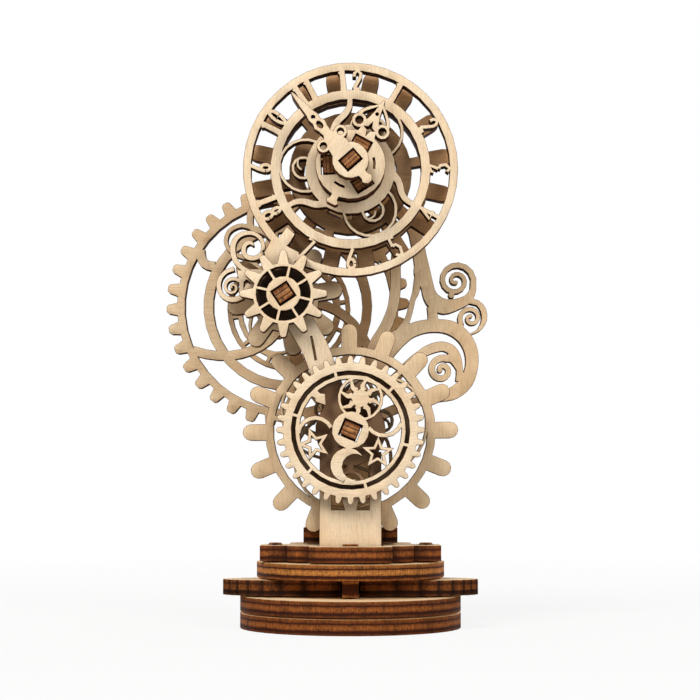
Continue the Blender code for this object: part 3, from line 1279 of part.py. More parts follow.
# One side of the minute hand in units: along the hand from the dial's axis, and out from its middle line
MINUTE_HAND_SIDE = [
    (2.63, -2.00), (5.20, -1.60), (6.40, -0.85), (7.40, -0.95), (8.30, -1.25), (9.20, -0.90),
    (10.10, -1.05), (11.00, -0.78), (12.80, -0.62), (15.26, -0.30), (16.06, -0.08),
]
MINUTE_HAND_TAIL = [(2.80, -0.80), (4.00, -0.80), (4.30, -1.10), (4.80, -0.90), (5.30, -0.40)]
MINUTE_HAND_LENS = [
    (9.08, 0.0), (8.85, 0.34), (8.30, 0.48), (7.75, 0.34), (7.52, 0.0), (7.75, -0.34), (8.30, -0.48),
    (8.85, -0.34),
]
MINUTE_HAND_DOT = (10.1, 0.0)
MINUTE_HAND_DOT_RADIUS = 0.36
MINUTE_EYE = (5.0, 2.0)
MINUTE_EYE_RADIUS = 1.24
MINUTE_EYE_HOLE = 0.64


def make_minute_train():
    """The minute hand, its stick, the small pinion at the back and their rings."""
    axle = axle_at("minute_axle", DIAL_AXIS)
    stick(
        "minute_shaft",
        STICK_WIDTH,
        MINUTE_STICK_DEPTH,
        MINUTE_TURN,
        MINUTE_HAND_FRONT - STICK_PROUD,
        DRIVE_BACK + STICK_PROUD,
        axle,
    )
    seat = square_hole(MINUTE_STICK_DEPTH, MINUTE_TURN)

    shape = Drawing()
    side = sized(MINUTE_HAND_SIDE, MINUTE_HAND_UNIT)
    shape.add(side + [(u, -v) for u, v in reversed(side)])
    for left in (-1, 1):
        eye = (MINUTE_EYE[0] * MINUTE_HAND_UNIT, left * MINUTE_EYE[1] * MINUTE_HAND_UNIT)
        shape.add(disc(MINUTE_EYE_RADIUS * MINUTE_HAND_UNIT, eye))
        shape.cut(disc(MINUTE_EYE_HOLE * MINUTE_HAND_UNIT, eye))
    shape.cut(disc(MINUTE_HAND_DOT_RADIUS * MINUTE_HAND_UNIT, sized([MINUTE_HAND_DOT], MINUTE_HAND_UNIT)[0]))
    shape.cut(sized(MINUTE_HAND_LENS, MINUTE_HAND_UNIT))
    hand = Drawing()
    for kept, outline in shape.shapes:
        hand.shapes.append((kept, moved(outline, MINUTE_HAND_ANGLE)))
    hand.add(disc(MINUTE_HUB_RADIUS))
    tail = sized(MINUTE_HAND_TAIL, MINUTE_HAND_UNIT)
    hand.add(moved(tail + [(u, -v) for u, v in reversed(tail)], MINUTE_HAND_ANGLE + 180.0))
    hand.cut(seat)
    cut_sheet("minute_hand", hand, MINUTE_HAND_FRONT, axle)

    phase = MINUTE_TURN + MINUTE_PINION_PHASE
    root, tip = MINUTE_PINION_ROOT, MINUTE_PINION_TIP
    pinion = finger_gear_drawing(PINION_TEETH, root, tip, MINUTE_PINION_TOOTH, phase)
    pinion.cut(seat)
    cut_sheet("minute_pinion", pinion, DRIVE_FRONT, axle)

    washer_thickness = MINUTE_HAND_GAP - 2 * SEAT_GAP
    washer_start = MINUTE_HAND_BACK + SEAT_GAP
    spacer(
        "minute_washer",
        MINUTE_STICK_DEPTH,
        MINUTE_TURN,
        washer_start,
        axle,
        washer_thickness,
        MINUTE_WASHER_RADIUS,
    )
    starts = [
        GEAR_LAYER_BACK + SEAT_GAP,
        ORNAMENT_BACK + SEAT_GAP,
        ORNAMENT_BACK + SEAT_GAP + LEVEL,
    ]
    for number, start in enumerate(starts, 1):
        spacer(f"minute_spacer_{number}", MINUTE_STICK_DEPTH, MINUTE_TURN, start, axle)


def main():
    for old in list(bpy.data.objects):
        bpy.data.objects.remove(old, do_unlink=True)
    make_base()
    make_front_plate()
    make_ornament_plate()
    make_winding_train()
    make_lower_train()
    make_hour_train()
    make_minute_train()


main()
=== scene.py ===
# %% [markdown]
# # A small clock cut from birch plywood
# This lesson dresses a finished model of a wooden clock. The real one is cut by a laser from sheets of
# birch plywood about three millimetres thick, then stacked and pinned together. Almost everything that
# the eye sees is therefore one of two surfaces: the pale veneer of a sheet's face, and the wall that the
# laser burnt, where the plies show as dark and light bands.
#
# The model itself is loaded as a fixed frame. Nothing in it is moved: each sheet gets a finer copy of
# itself, which rides on the same moving body.

import json
import math

import bmesh
import bpy
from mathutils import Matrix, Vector


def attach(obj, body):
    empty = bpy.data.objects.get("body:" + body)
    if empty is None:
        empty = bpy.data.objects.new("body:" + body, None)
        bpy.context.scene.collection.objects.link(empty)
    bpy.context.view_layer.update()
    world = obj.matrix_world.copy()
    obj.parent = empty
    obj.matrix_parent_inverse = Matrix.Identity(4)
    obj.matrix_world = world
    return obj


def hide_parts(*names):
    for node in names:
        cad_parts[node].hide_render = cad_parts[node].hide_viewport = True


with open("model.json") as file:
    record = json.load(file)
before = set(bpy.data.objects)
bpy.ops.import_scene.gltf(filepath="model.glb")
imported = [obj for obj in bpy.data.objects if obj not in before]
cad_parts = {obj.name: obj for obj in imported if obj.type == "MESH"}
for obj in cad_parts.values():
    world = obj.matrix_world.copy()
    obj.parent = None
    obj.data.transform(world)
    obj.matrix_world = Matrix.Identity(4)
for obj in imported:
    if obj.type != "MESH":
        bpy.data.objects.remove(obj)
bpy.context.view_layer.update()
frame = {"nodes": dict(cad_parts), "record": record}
record = frame["record"]
print("nodes:", len(frame["nodes"]))

# %% [markdown]
# ## The camera
# The photograph was taken from a little above the foot of the clock, about a third of a metre away, and
# its upright lines stay upright. A level camera with its picture shifted up does that, and so, almost,
# does one that tilts up by a few degrees. This one does a little of both: the small shift keeps the
# sides upright to within a pixel, and the clock stays whole in the picture when it is seen from
# another side.

# %% Camera
MM = 0.001
IMAGE = 700  # pixels across the picture
PIXELS_PER_RADIAN = 1799.6
CAMERA_BACK = 337.53 * MM
CAMERA_HEIGHT = 26.92 * MM
TILT_UP = math.radians(2.66)
SHIFT_UP = 0.07  # a share of the picture's width
MIDDLE_OFFSET = 0.49  # pixels by which the clock stands right of the middle
SENSOR = 36.0
NEAR_CLIP = 10 * MM


def place_camera():
    """Places the photograph's camera, which looks along +Y and a little upwards."""
    lens = bpy.data.cameras.new("view_camera")
    lens.sensor_width = SENSOR
    lens.lens = PIXELS_PER_RADIAN / IMAGE * SENSOR
    lens.shift_x = -MIDDLE_OFFSET / IMAGE
    lens.shift_y = SHIFT_UP
    lens.clip_start = NEAR_CLIP
    camera = bpy.data.objects.new("view_camera", lens)
    camera.location = (0.0, -CAMERA_BACK, CAMERA_HEIGHT)
    camera.rotation_euler = (math.pi / 2 + TILT_UP, 0.0, 0.0)
    bpy.context.scene.collection.objects.link(camera)
    bpy.context.scene.camera = camera
    print("lens:", round(lens.lens, 2), "mm")


place_camera()
bpy.context.scene.view_settings.view_transform = "Standard"

# %% [markdown]
# ## Colours and nodes
# A colour picker gives sRGB values, and the renderer reckons in linear light, so one function turns
# one into the other. A second small function adds a node, sets what it is given and links the rest.

# %% Colour and node helpers


def paint(hex_colour):
    """Turns a colour such as "E6CDA6" into the linear red, green, blue and alpha of a node."""
    channels = [int(hex_colour[i:i + 2], 16) / 255 for i in (0, 2, 4)]
    linear = [c / 12.92 if c <= 0.04045 else ((c + 0.055) / 1.055) ** 2.4 for c in channels]
    return (*linear, 1.0)


def add(material, kind, inputs=None, **settings):
    """Adds one node, sets its settings, and links or sets the inputs that it is given."""
    node = material.node_tree.nodes.new(kind)
    for name, value in settings.items():
        setattr(node, name, value)
    for socket, value in (inputs or {}).items():
        if isinstance(value, bpy.types.NodeSocket):
            material.node_tree.links.new(value, node.inputs[socket])
        else:
            node.inputs[socket].default_value = value
    return node


def set_stops(ramp, stops):
    """Gives a colour ramp its stops, each a place from 0 to 1 and a colour."""
    elements = ramp.color_ramp.elements
    elements[0].position = stops[0][0]
    elements[0].color = paint(stops[0][1])
    elements[1].position = stops[-1][0]
    elements[1].color = paint(stops[-1][1])
    for place, colour in stops[1:-1]:
        elements.new(place).color = paint(colour)


def new_material(name):
    """Makes an empty node material and returns it."""
    material = bpy.data.materials.new(name)
    material.use_nodes = True
    material.node_tree.nodes.clear()
    return material


# %% [markdown]
# ## Where the wood's pattern lies
# Every sheet was cut from a plank of its own, so the grain doesn't run through the clock as one field.
# Each piece carries two attributes on its points. "grain" is the place on the sheet in millimetres:
# across the grain, along it, and through the thickness. "plies" goes from 0 on one face to 1 on the
# other. With them one veneer and one burnt edge serve sheets that stand, lie or turn.

# %% Nodes that read the wood's own coordinates
WOOD_IOR = 1.5


def grain_at(material, across, along, through=1.0):
    """The grain coordinates in millimetres, each direction multiplied by its own scale."""
    place = add(material, "ShaderNodeAttribute", attribute_name="grain")
    scaled = add(material, "ShaderNodeVectorMath",
                 {0: place.outputs["Vector"], 1: (across, along, through)}, operation="MULTIPLY")
    return scaled.outputs[0]


def noise(material, vector, detail=2.0, roughness=0.5, distortion=0.0):
    """Noise at a place that is already scaled. Its values lie between about 0.2 and 0.8."""
    made = add(material, "ShaderNodeTexNoise", {
        "Vector": vector, "Scale": 1.0, "Detail": detail, "Roughness": roughness,
        "Distortion": distortion})
    return made.outputs["Fac"]


def stretch(material, value, low, high, to_low=0.0, to_high=1.0):
    """Moves a value's range from low..high to to_low..to_high and clamps it."""
    made = add(material, "ShaderNodeMapRange", {
        "Value": value, "From Min": low, "From Max": high, "To Min": to_low, "To Max": to_high})
    return made.outputs["Result"]


def grey_of(material, value):
    """A grey of the given value, for multiplying."""
    return add(material, "ShaderNodeCombineColor", {0: value, 1: value, 2: value}).outputs[0]


def mixed(material, factor, first, second, blend="MIX"):
    """Mixes two colours."""
    made = add(material, "ShaderNodeMix", data_type="RGBA", blend_type=blend)
    colours = [s for s in made.inputs if s.type == "RGBA"]
    links = material.node_tree.links
    for socket, value in ((made.inputs[0], factor), (colours[0], first), (colours[1], second)):
        if isinstance(value, bpy.types.NodeSocket):
            links.new(value, socket)
        else:
            socket.default_value = value
    return next(s for s in made.outputs if s.type == "RGBA")


def close_surface(material, colour, roughness, height, depth, specular):
    """Ends a wood material: the Principled shader, with a bump of the given depth in metres."""
    bump = add(material, "ShaderNodeBump", {"Height": height, "Strength": 1.0, "Distance": depth})
    wood = add(material, "ShaderNodeBsdfPrincipled", {
        "Base Color": colour, "Roughness": roughness, "Normal": bump.outputs[0],
        "IOR": WOOD_IOR, "Specular IOR Level": specular})
    add(material, "ShaderNodeOutputMaterial", {"Surface": wood.outputs[0]})


# %% [markdown]
# ## Birch veneer
# The faces are rotary-peeled birch, sanded and left raw: cream, matt, with fine fibres a quarter of a
# millimetre apart that run a few millimetres, tiny darker pores, and a slow change of tone from the
# peeling. Paint would hide all of that, and a photograph would tile, so the fibres are noise that is
# drawn out along the grain. Painted shade browns the front plate where it lies half a millimetre behind
# the slots and windows of the two gears that turn on it.
#
# All the veneers share one recipe, in three tones. The front plate and the small gears are palest, the
# gears and the plate behind them a little warmer as painted shade, and the hour gear at the back of the
# dial a darker brown as deeper painted shade.

# %% Birch veneer
FIGURE = (0.16, 0.025)  # the scales of the pattern are counts per millimetre, across and along the grain
FIBRES = (4.4, 0.30)
PORES = (7.5, 1.3)
FLECKS = (4.2, 3.4)
FIBRE_RELIEF = 0.03 * MM
VENEER_SPECULAR = 0.3
SHADE_FADE = 0.25 * MM
AXIS_OF = {row["name"]: row["pos_m"] for row in record["behaviour"]["joints"]}


def painted_shade_ring(material, colour, joint, inner, outer, shade_colour, strength):
    """The colour, darkened by painted shade between two distances from a joint's axis."""
    x, _, z = AXIS_OF[joint]
    place = add(material, "ShaderNodeTexCoord")
    level = add(material, "ShaderNodeVectorMath", {0: place.outputs["Object"], 1: (1.0, 0.0, 1.0)},
                operation="MULTIPLY")
    reach = add(material, "ShaderNodeVectorMath", {0: level.outputs[0], 1: (x, 0.0, z)}, operation="DISTANCE")
    radius = reach.outputs["Value"]
    begun = stretch(material, radius, inner - SHADE_FADE, inner + SHADE_FADE)
    ended = stretch(material, radius, outer - SHADE_FADE, outer + SHADE_FADE, strength, 0.0)
    share = add(material, "ShaderNodeMath", {0: begun, 1: ended}, operation="MULTIPLY")
    return mixed(material, share.outputs[0], colour, paint(shade_colour))


def birch_veneer(name, pale, warm, fibre_dark, rings=()):
    """Raw birch veneer in the given pale and warm tones, with any rings of painted shade."""
    material = new_material(name)
    figure = noise(material, grain_at(material, *FIGURE), detail=3.0, distortion=0.4)
    tone = mixed(material, stretch(material, figure, 0.32, 0.68), paint(pale), paint(warm))
    fibres = noise(material, grain_at(material, *FIBRES), detail=4.0, roughness=0.65)
    fibre_share = stretch(material, fibres, 0.44, 0.74, 0.0, 0.42)
    lined = mixed(material, fibre_share, tone, paint(fibre_dark))
    pores = noise(material, grain_at(material, *PORES), detail=1.0)
    pore_share = stretch(material, pores, 0.64, 0.74, 0.0, 0.5)
    pored = mixed(material, pore_share, lined, paint(fibre_dark))
    flecks = noise(material, grain_at(material, *FLECKS), detail=2.0)
    fleck_share = stretch(material, flecks, 0.3, 0.7, 0.93, 1.05)
    colour = mixed(material, 1.0, pored, grey_of(material, fleck_share), "MULTIPLY")
    for ring in rings:
        colour = painted_shade_ring(material, colour, *ring)
    roughness = stretch(material, fibres, 0.3, 0.7, 0.62, 0.78)
    close_surface(material, colour, roughness, fibres, FIBRE_RELIEF, VENEER_SPECULAR)
    return material


# Each ring of painted shade is a joint, the nearest and farthest distance from its axis, a colour and a
# strength. A nearest distance below 0 makes the ring a full disc.
PAINTED_SHADE_RINGS = (
    ("lower_spin", -1.0 * MM, 9.3 * MM, "A8744A", 0.8),
    ("lower_spin", 9.3 * MM, 11.3 * MM, "4A2815", 0.75),
    ("winding_spin", 2.5 * MM, 5.0 * MM, "3A1E10", 0.9),
)
PALE_BIRCH = ("F5E0C0", "ECCFA9", "C2976B")
# Cream and matt, with fine tan fibres: the clock's brightest surface.
FACE_VENEER = birch_veneer("birch_veneer", *PALE_BIRCH)
# The same cream, with rings of painted shade behind the gears' slots and windows, which make them look deep.
PLATE_VENEER = birch_veneer("shade_painted_veneer", *PALE_BIRCH, PAINTED_SHADE_RINGS)
# A little browner, as painted shade that sets the rear sheets back from the front ones.
WARM_VENEER = birch_veneer("warm_birch_veneer", "EBD0A9", "DFBD93", "B0875C")
# Toast brown as painted shade behind the dial, so that its numerals stand out against the gear behind them.
DEEP_SHADE_VENEER = birch_veneer("deep_shade_birch_veneer", "CFA67A", "B98D60", "7C5230")

# %% [markdown]
# ## The burnt edge
# A laser cuts by burning, so the walls of every opening are toasted plywood. The plies that lie across
# the wall show end grain and take the most char, those that lie along it stay orange-brown, and the
# glue between them is nearly black. The beam also leaves fine stripes through the thickness, about
# three to a millimetre, and burns longest where it turns, so the bottoms of notches are darkest. The
# bands follow "plies", bent a little by noise, and the stripes are noise that changes along the wall but
# hardly through it.

# %% Burnt plywood edge
WAVER = (0.35, 0.35, 0.2)  # counts per millimetre, along the wall twice and then through it
SPECKLE = (3.0, 3.0, 2.4)
PATCHES = (0.42, 0.42, 0.12)
STRIPES_PER_MM = 3.4
STRIPES_THROUGH = 0.6
STRIPE_RELIEF = 0.06 * MM
EDGE_SPECULAR = 0.12

# Each band is its place through the sheet, from one face at 0 to the other at 1, and its colour.
UPPER_PLIES = (
    (0.00, "D8A466"),
    (0.05, "A86A30"),
    (0.20, "96582A"),
    (0.25, "562B14"),
    (0.31, "4A2310"),
    (0.36, "B06C32"),
    (0.52, "CC8642"),
    (0.66, "AE6A30"),
    (0.71, "3C1A0C"),
    (0.85, "421D0C"),
    (0.90, "86491F"),
    (1.00, "A66532"),
)
BASE_PLIES = (
    (0.00, "AE7440"),
    (0.05, "8A4C22"),
    (0.20, "7A401C"),
    (0.25, "4A2411"),
    (0.31, "42200F"),
    (0.36, "884820"),
    (0.52, "A4602C"),
    (0.66, "88471E"),
    (0.71, "401C0E"),
    (0.85, "441F0F"),
    (0.90, "6C3718"),
    (1.00, "804722"),
)
CHAR_AND_SHADE_PLIES = (
    (0.00, "A06A38"),
    (0.05, "7A431D"),
    (0.24, "46210F"),
    (0.35, "7E461D"),
    (0.60, "864B1F"),
    (0.67, "2C140B"),
    (0.85, "321809"),
    (1.00, "6E4020"),
)
SHEET_PLIES = (
    (0.00, "6B3E1E"),
    (0.04, "5C3118"),
    (0.25, "522911"),
    (0.30, "2E1409"),
    (0.36, "683818"),
    (0.62, "6C3B1A"),
    (0.68, "2E1409"),
    (0.75, "522911"),
    (0.96, "5C3118"),
    (1.00, "6B3E1E"),
)
STICK_PLIES = (
    (0.00, "3E1E0E"),
    (0.08, "8A5530"),
    (0.24, "B07A4C"),
    (0.30, "2A130A"),
    (0.38, "9A6238"),
    (0.58, "BC8656"),
    (0.66, "2A130A"),
    (0.74, "AC744A"),
    (0.92, "7C4A28"),
    (1.00, "3E1E0E"),
)
KEY_PLIES = (
    (0.00, "B87A40"),
    (0.10, "96582A"),
    (0.18, "4A2210"),
    (0.50, "421D0E"),
    (0.82, "542814"),
    (0.90, "96582A"),
    (1.00, "B87A40"),
)


def burnt_edge(name, bands, char, charred, stripes_per_mm=STRIPES_PER_MM):
    """Laser-cut plywood seen from the side: ply bands, stripes of the beam and patches of char."""
    material = new_material(name)
    across = add(material, "ShaderNodeAttribute", attribute_name="plies").outputs["Fac"]
    waver = noise(material, grain_at(material, *WAVER), detail=3.0)
    bend = stretch(material, waver, 0.3, 0.7, -0.025, 0.025)
    bent = add(material, "ShaderNodeMath", {0: across, 1: bend}, operation="ADD")
    ramp = add(material, "ShaderNodeValToRGB", {"Fac": bent.outputs[0]})
    set_stops(ramp, bands)
    stripes = noise(material, grain_at(material, stripes_per_mm, stripes_per_mm, STRIPES_THROUGH),
                    detail=3.0, roughness=0.65)
    speckle = noise(material, grain_at(material, *SPECKLE), detail=3.0, roughness=0.7)
    beaten = stretch(material, stripes, 0.3, 0.7, 0.62, 1.3)
    striped = mixed(material, 1.0, ramp.outputs[0], grey_of(material, beaten), "MULTIPLY")
    specked = mixed(material, stretch(material, speckle, 0.50, 0.66, 0.0, 0.75), striped, paint(char))
    patches = noise(material, grain_at(material, *PATCHES), detail=4.0, roughness=0.6)
    patched = mixed(material, stretch(material, patches, 0.48, 0.76, 0.0, charred), specked, paint(char))
    notch = add(material, "ShaderNodeAttribute", attribute_name="notch").outputs["Fac"]
    colour = mixed(material, stretch(material, notch, 0.0, 1.0, 0.0, 0.9), patched, paint(char))
    roughness = stretch(material, stripes, 0.3, 0.7, 0.7, 0.9)
    close_surface(material, colour, roughness, stripes, STRIPE_RELIEF, EDGE_SPECULAR)
    return material


# Orange-brown with one dark band: the brightest level of the base.
UPPER_EDGE = burnt_edge("burnt_upper_edge", UPPER_PLIES, "30170C", 0.5)
# Red-brown bands, which give the base its weight.
BASE_EDGE = burnt_edge("burnt_base_edge", BASE_PLIES, "2E160C", 0.6)
# Mostly dark: painted shade on the wing plate, which lies in the shade of the upper disc, and the rough
# block's own char.
CHAR_AND_SHADE_EDGE = burnt_edge("char_and_painted_shade_edge", CHAR_AND_SHADE_PLIES, "1E0D07", 0.8)
# Dark brown, seen as the outline around every standing sheet.
SHEET_EDGE = burnt_edge("burnt_sheet_edge", SHEET_PLIES, "1A0D07", 0.7)
# Tan wood between black glue lines: the small dark squares at the gears' middles.
STICK_END = burnt_edge("burnt_stick_end", STICK_PLIES, "1E0D07", 0.5, 1.6)
# A black middle between two paler rims.
KEY_END = burnt_edge("burnt_key_end", KEY_PLIES, "3A1C0E", 0.4)

# %% [markdown]
# ## Cutting the sheets
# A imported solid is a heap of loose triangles, right in shape but with corners sharper than any real
# one. Each sheet is copied, its triangles are merged, and its rims are bevelled by less than a tenth of
# a millimetre: that is the singed lip that a laser leaves, and it draws a thin dark line around each
# face. The faces then take the veneer, and walls and lips take the burnt edge.

# %% Sheet cutter
MERGE = 1e-6
LIP = 0.07 * MM
SMOOTH_ANGLE = math.radians(32.0)
NOTCH_ANGLE = math.radians(30.0)  # a wall that turns inwards by this much is fully charred there
ALMOST_FLAT = 0.95  # the cosine above which two directions count as one
FACE_LEAN = 0.9  # the same for the two sides of a rim, with the cosine below which one of them is a wall
WALL_LEAN = 0.1
PLANK_STEP = Vector((31.7, 83.1, 0.0))  # millimetres between one piece's place on the plank and the next's
FACE_SLOT = 0
WALL_SLOT = 1
BODY_OF = {node: body for body, nodes in record["behaviour"]["bodies"].items() for node in nodes}


def merged_copy(node):
    """A bmesh of a node's solid, with its loose triangles joined."""
    shape = bmesh.new()
    shape.from_mesh(frame["nodes"][node].data)
    bmesh.ops.remove_doubles(shape, verts=shape.verts, dist=MERGE)
    shape.normal_update()
    return shape


def bevel_edges(shape, edges, width):
    """Bevels the given edges once, and brings the normals up to date."""
    bmesh.ops.bevel(shape, geom=edges, offset=width, offset_type="OFFSET", segments=1, profile=0.5,
                    affect="EDGES", clamp_overlap=False, loop_slide=False, material=-1)
    shape.normal_update()


def soften_rims(shape, through, width):
    """Bevels the edges where a face of the sheet meets a wall."""
    rims = []
    for edge in shape.edges:
        if len(edge.link_faces) != 2:
            continue
        leans = sorted(abs(face.normal.dot(through)) for face in edge.link_faces)
        if leans[0] < WALL_LEAN and leans[1] > FACE_LEAN:
            rims.append(edge)
    bevel_edges(shape, rims, width)


def notch_depth(vert, through):
    """How sharply the wall turns inwards at a point, from 0 to 1."""
    sharpest = 0.0
    for edge in vert.link_edges:
        run = (edge.verts[0].co - edge.verts[1].co).normalized()
        if len(edge.link_faces) == 2 and abs(run.dot(through)) > ALMOST_FLAT:
            sharpest = max(sharpest, -edge.calc_face_angle_signed(0.0) / NOTCH_ANGLE)
    return min(sharpest, 1.0)


def lay_pattern(shape, through, along, shift):
    """Writes the piece's attributes: through is the sheet's normal, along is its grain."""
    across = through.cross(along)
    heights = [vert.co.dot(through) for vert in shape.verts]
    low = min(heights)
    span = max(heights) - low
    grain = shape.verts.layers.float_vector.new("grain")
    plies = shape.verts.layers.float.new("plies")
    notch = shape.verts.layers.float.new("notch")
    for vert, height in zip(shape.verts, heights):
        vert[notch] = notch_depth(vert, through)
        vert[grain] = Vector((vert.co.dot(across), vert.co.dot(along), height - low)) / MM + shift
        vert[plies] = (height - low) / span


def finish_piece(node, shape, face_material, wall_material, through):
    for face in shape.faces:
        is_face = abs(face.normal.dot(through)) > ALMOST_FLAT
        face.material_index = FACE_SLOT if is_face else WALL_SLOT
        face.smooth = True
    mesh = bpy.data.meshes.new(node + "_wood")
    shape.to_mesh(mesh)
    shape.free()
    mesh.set_sharp_from_angle(angle=SMOOTH_ANGLE)
    mesh.materials.append(face_material)
    mesh.materials.append(wall_material)
    piece = bpy.data.objects.new(node + "_wood", mesh)
    bpy.context.scene.collection.objects.link(piece)
    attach(piece, BODY_OF[node])
    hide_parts(node)


def cut_sheet(node, through, along, number, wall_material, face_material=FACE_VENEER):
    """Makes the wooden copy of one sheet. The number shifts its pattern to a plank of its own."""
    shape = merged_copy(node)
    soften_rims(shape, through, LIP)
    lay_pattern(shape, through, along, PLANK_STEP * number)
    finish_piece(node, shape, face_material, wall_material, through)


# %% [markdown]
# ## Sheets that stand
# The plates, the gears, the hands and the rings between them all stand upright, with their faces to
# the front. Their plies are counted backwards from the front face. The veneer's grain runs up the
# plates. A gear may have been cut at any angle, so each of them is turned by an angle of its own, here
# in degrees.

# %% Standing sheets
BACKWARDS = Vector((0.0, 1.0, 0.0))
STANDING = {
    "front_plate": 0, "ornament_plate": 0, "star_gear": 90, "ring_gear": 0, "front_pinion": 20,
    "finger_gear": 65, "drive_gear": 90, "hand_wheel": 90, "hour_hand": 0, "hour_gear": 90,
    "hour_bearing_disc": 40, "minute_hand": 25, "minute_pinion": 0, "middle_washer": 10,
    "middle_spacer_1": 30, "middle_spacer_2": 80, "middle_spacer_3": 50, "middle_spacer_4": 15,
    "lower_washer": 35, "lower_spacer": 70, "lower_lock_ring": 5, "minute_washer": 60,
    "minute_spacer_1": 25, "minute_spacer_2": 75, "minute_spacer_3": 45,
}
# The rear sheets take the warmer and the darker veneers as painted shade.
VENEER_OF = {
    "front_plate": PLATE_VENEER, "ring_gear": WARM_VENEER, "drive_gear": WARM_VENEER,
    "ornament_plate": WARM_VENEER, "hand_wheel": WARM_VENEER, "finger_gear": WARM_VENEER,
    "hour_gear": DEEP_SHADE_VENEER, "hour_bearing_disc": DEEP_SHADE_VENEER,
}

for number, (node, lean) in enumerate(STANDING.items()):
    turn = math.radians(lean)
    cut_sheet(node, BACKWARDS, Vector((math.sin(turn), 0.0, math.cos(turn))), number, SHEET_EDGE,
              VENEER_OF.get(node, FACE_VENEER))
print("standing sheets:", len(STANDING))

# %% [markdown]
# ## Sheets that lie flat
# The base is six sheets stacked flat. From the front almost only their burnt walls are seen, one below
# the other, which is why the base looks dark although it is the same plywood. The plies are counted
# downwards from the top face.

# %% Lying sheets
DOWN = Vector((0.0, 0.0, -1.0))
LYING = {
    "base_disc_bottom": 90, "base_disc_second": 75, "base_wing_plate": 90, "base_disc_upper": 80,
    "base_rosette": 90, "base_top_block": 0, "stand_wedge": 90,
}
# The wing plate's darker edge is painted shade.
EDGE_OF = {"base_wing_plate": CHAR_AND_SHADE_EDGE, "base_top_block": CHAR_AND_SHADE_EDGE, "base_disc_upper": UPPER_EDGE}

for number, (node, lean) in enumerate(LYING.items(), len(STANDING)):
    turn = math.radians(lean)
    cut_sheet(node, DOWN, Vector((math.sin(turn), math.cos(turn), 0.0)), number,
              EDGE_OF.get(node, BASE_EDGE), WARM_VENEER)
print("lying sheets:", len(LYING))

# %% [markdown]
# ## Sticks and pegs
# The shafts are square sticks of the same plywood, laser-cut on all sides, so even their ends show the
# plies as stripes. Their plies are counted across one pair of sides, whose direction is read from the
# largest side of each stick. The two round pegs in the base are dowels that stand upright.

# %% Sticks and pegs
STICKS = (
    "middle_shaft", "lower_shaft", "minute_shaft", "base_key", "hour_peg_1", "hour_peg_2", "hour_peg_3",
)
PEGS = ("base_peg_left", "base_peg_right")
FIRST_STICK = 40  # past the sheets' own numbers
FIRST_PEG = 50
STICK_STEP = Vector((17.3, 9.1, 0.0))
PEG_STEP = Vector((5.3, 0.0, 0.0))
CORNER = math.radians(60.0)
PEG_CHAMFER = 2.5 * LIP


def largest_side(shape, along):
    """The normal of the largest face that runs along the stick."""
    sides = [face for face in shape.faces if abs(face.normal.dot(along)) < WALL_LEAN]
    return max(sides, key=lambda face: face.calc_area()).normal.copy()


for number, node in enumerate(STICKS, FIRST_STICK):
    shape = merged_copy(node)
    side = largest_side(shape, BACKWARDS)
    corners = [edge for edge in shape.edges if len(edge.link_faces) == 2 and edge.calc_face_angle() > CORNER]
    bevel_edges(shape, corners, LIP)
    lay_pattern(shape, side, BACKWARDS, STICK_STEP * number)
    end = KEY_END if node == "base_key" else STICK_END
    finish_piece(node, shape, end, end, side)

for number, node in enumerate(PEGS, FIRST_PEG):
    shape = merged_copy(node)
    soften_rims(shape, DOWN, PEG_CHAMFER)
    lay_pattern(shape, BACKWARDS, DOWN, PEG_STEP * number)
    finish_piece(node, shape, STICK_END, STICK_END, DOWN)
print("sticks and pegs:", len(STICKS) + len(PEGS))

# %% [markdown]
# ## The table and the light
# The clock stands on white paper, in soft light that comes mostly from the front, from above and to the
# left. The lamps are large, so shadows between the sheets are soft. The paper is lit like
# the clock, and to the camera it is mixed with plain white, so that the background is white without
# any more light on the wood. There is no metal or glass here to mirror the background, and only the
# camera's own rays see that white.

# %% Table and lamps
TABLE_RADIUS = 1.5
CLOCK_MIDDLE = Vector((0.0, 0.0, 0.055))
LAMP_DISTANCE = 0.9
LAMP_SIZE = 0.4
ROOM_LIGHT = 0.22
SHADOW_NEAR = 40 * MM
SHADOW_FAR = 350 * MM
SHADOW_WHITE = 0.86  # how white the camera sees the paper at the clock's foot, where 1 is plain white
PAPER_GRAIN = 900.0
LAMPS = (  # name, azimuth, elevation, share
    ("key_lamp", -30.0, 42.0, 0.49),
    ("second_lamp", 34.0, 24.0, 0.24),
    ("back_left_lamp", -145.0, 14.0, 0.35),
    ("back_right_lamp", 140.0, 18.0, 0.40),
)


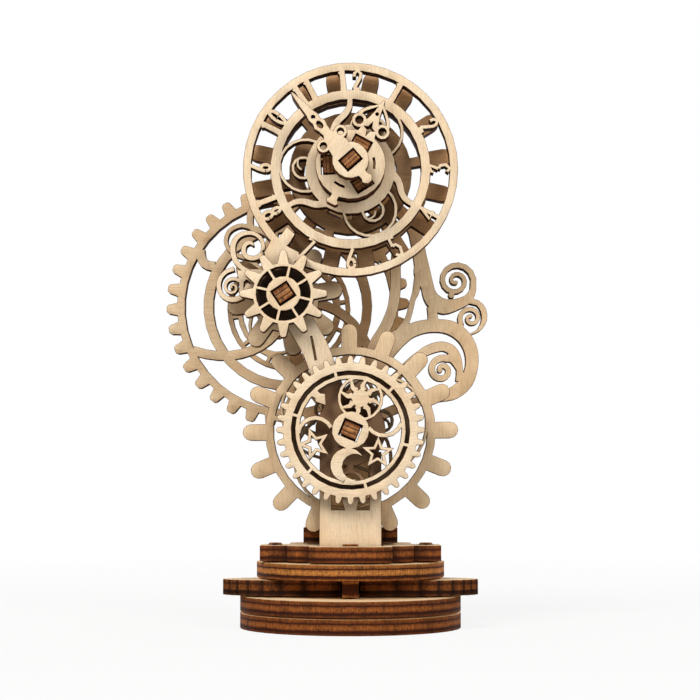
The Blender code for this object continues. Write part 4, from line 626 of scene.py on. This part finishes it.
def white_paper():
    """Pale paper that keeps a trace of the clock's shadow and is otherwise white to the camera."""
    material = new_material("white_paper")
    fibre = add(material, "ShaderNodeTexCoord")
    rough = add(material, "ShaderNodeTexNoise", {"Vector": fibre.outputs["Object"], "Scale": PAPER_GRAIN})
    grain = stretch(material, rough.outputs["Fac"], 0.3, 0.7)
    tone = mixed(material, grain, paint("C6C5C2"), paint("CECDCA"))
    paper = add(material, "ShaderNodeBsdfDiffuse", {"Color": tone, "Roughness": 0.9})
    glow = add(material, "ShaderNodeEmission", {"Color": (1.0, 1.0, 1.0, 1.0), "Strength": 1.0})
    ray = add(material, "ShaderNodeLightPath")
    distance = add(material, "ShaderNodeVectorMath", {0: fibre.outputs["Object"]}, operation="LENGTH")
    fade = stretch(material, distance.outputs["Value"], SHADOW_NEAR, SHADOW_FAR, SHADOW_WHITE, 1.0)
    share = add(material, "ShaderNodeMath", {0: ray.outputs["Is Camera Ray"], 1: fade}, operation="MULTIPLY")
    both = add(material, "ShaderNodeMixShader", {
        0: share.outputs[0], 1: paper.outputs[0], 2: glow.outputs[0]})
    add(material, "ShaderNodeOutputMaterial", {"Surface": both.outputs[0]})
    return material


def lay_table():
    """A wide round table top at the height of the clock's foot."""
    shape = bmesh.new()
    bmesh.ops.create_circle(shape, cap_ends=True, segments=96, radius=TABLE_RADIUS)
    mesh = bpy.data.meshes.new("table")
    shape.to_mesh(mesh)
    shape.free()
    mesh.materials.append(white_paper())
    table = bpy.data.objects.new("table", mesh)
    bpy.context.scene.collection.objects.link(table)


def hang_lamp(name, azimuth, elevation, share):
    """Hangs a square lamp that faces the clock.

    Its share is the light that it gives a sheet's face, where 1 in all shows a colour as it is written.
    Azimuth 0 is the camera's side, and 90 the clock's right.
    """
    turn = math.radians(azimuth)
    rise = math.radians(elevation)
    aim = Vector((math.sin(turn) * math.cos(rise), -math.cos(turn) * math.cos(rise), math.sin(rise)))
    light = bpy.data.lights.new(name, "AREA")
    light.size = LAMP_SIZE
    light.energy = share * (math.pi * LAMP_DISTANCE) ** 2 / abs(aim.y)
    lamp = bpy.data.objects.new(name, light)
    lamp.location = CLOCK_MIDDLE + aim * LAMP_DISTANCE
    lamp.rotation_euler = aim.to_track_quat("Z", "Y").to_euler()
    bpy.context.scene.collection.objects.link(lamp)


def white_room(strength):
    """A room that lights the clock at the given strength and is white to the camera."""
    world = bpy.data.worlds.new("white_room")
    world.use_nodes = True
    bpy.context.scene.world = world
    world.node_tree.nodes.clear()
    ray = add(world, "ShaderNodeLightPath")
    level = add(world, "ShaderNodeMapRange",
                {"Value": ray.outputs["Is Camera Ray"], "To Min": strength, "To Max": 1.0})
    sky = add(world, "ShaderNodeBackground", {"Color": (1.0, 1.0, 1.0, 1.0), "Strength": level.outputs[0]})
    add(world, "ShaderNodeOutputWorld", {"Surface": sky.outputs[0]})


lay_table()
white_room(ROOM_LIGHT)
for lamp_row in LAMPS:
    hang_lamp(*lamp_row)
print("lamps:", len(LAMPS))
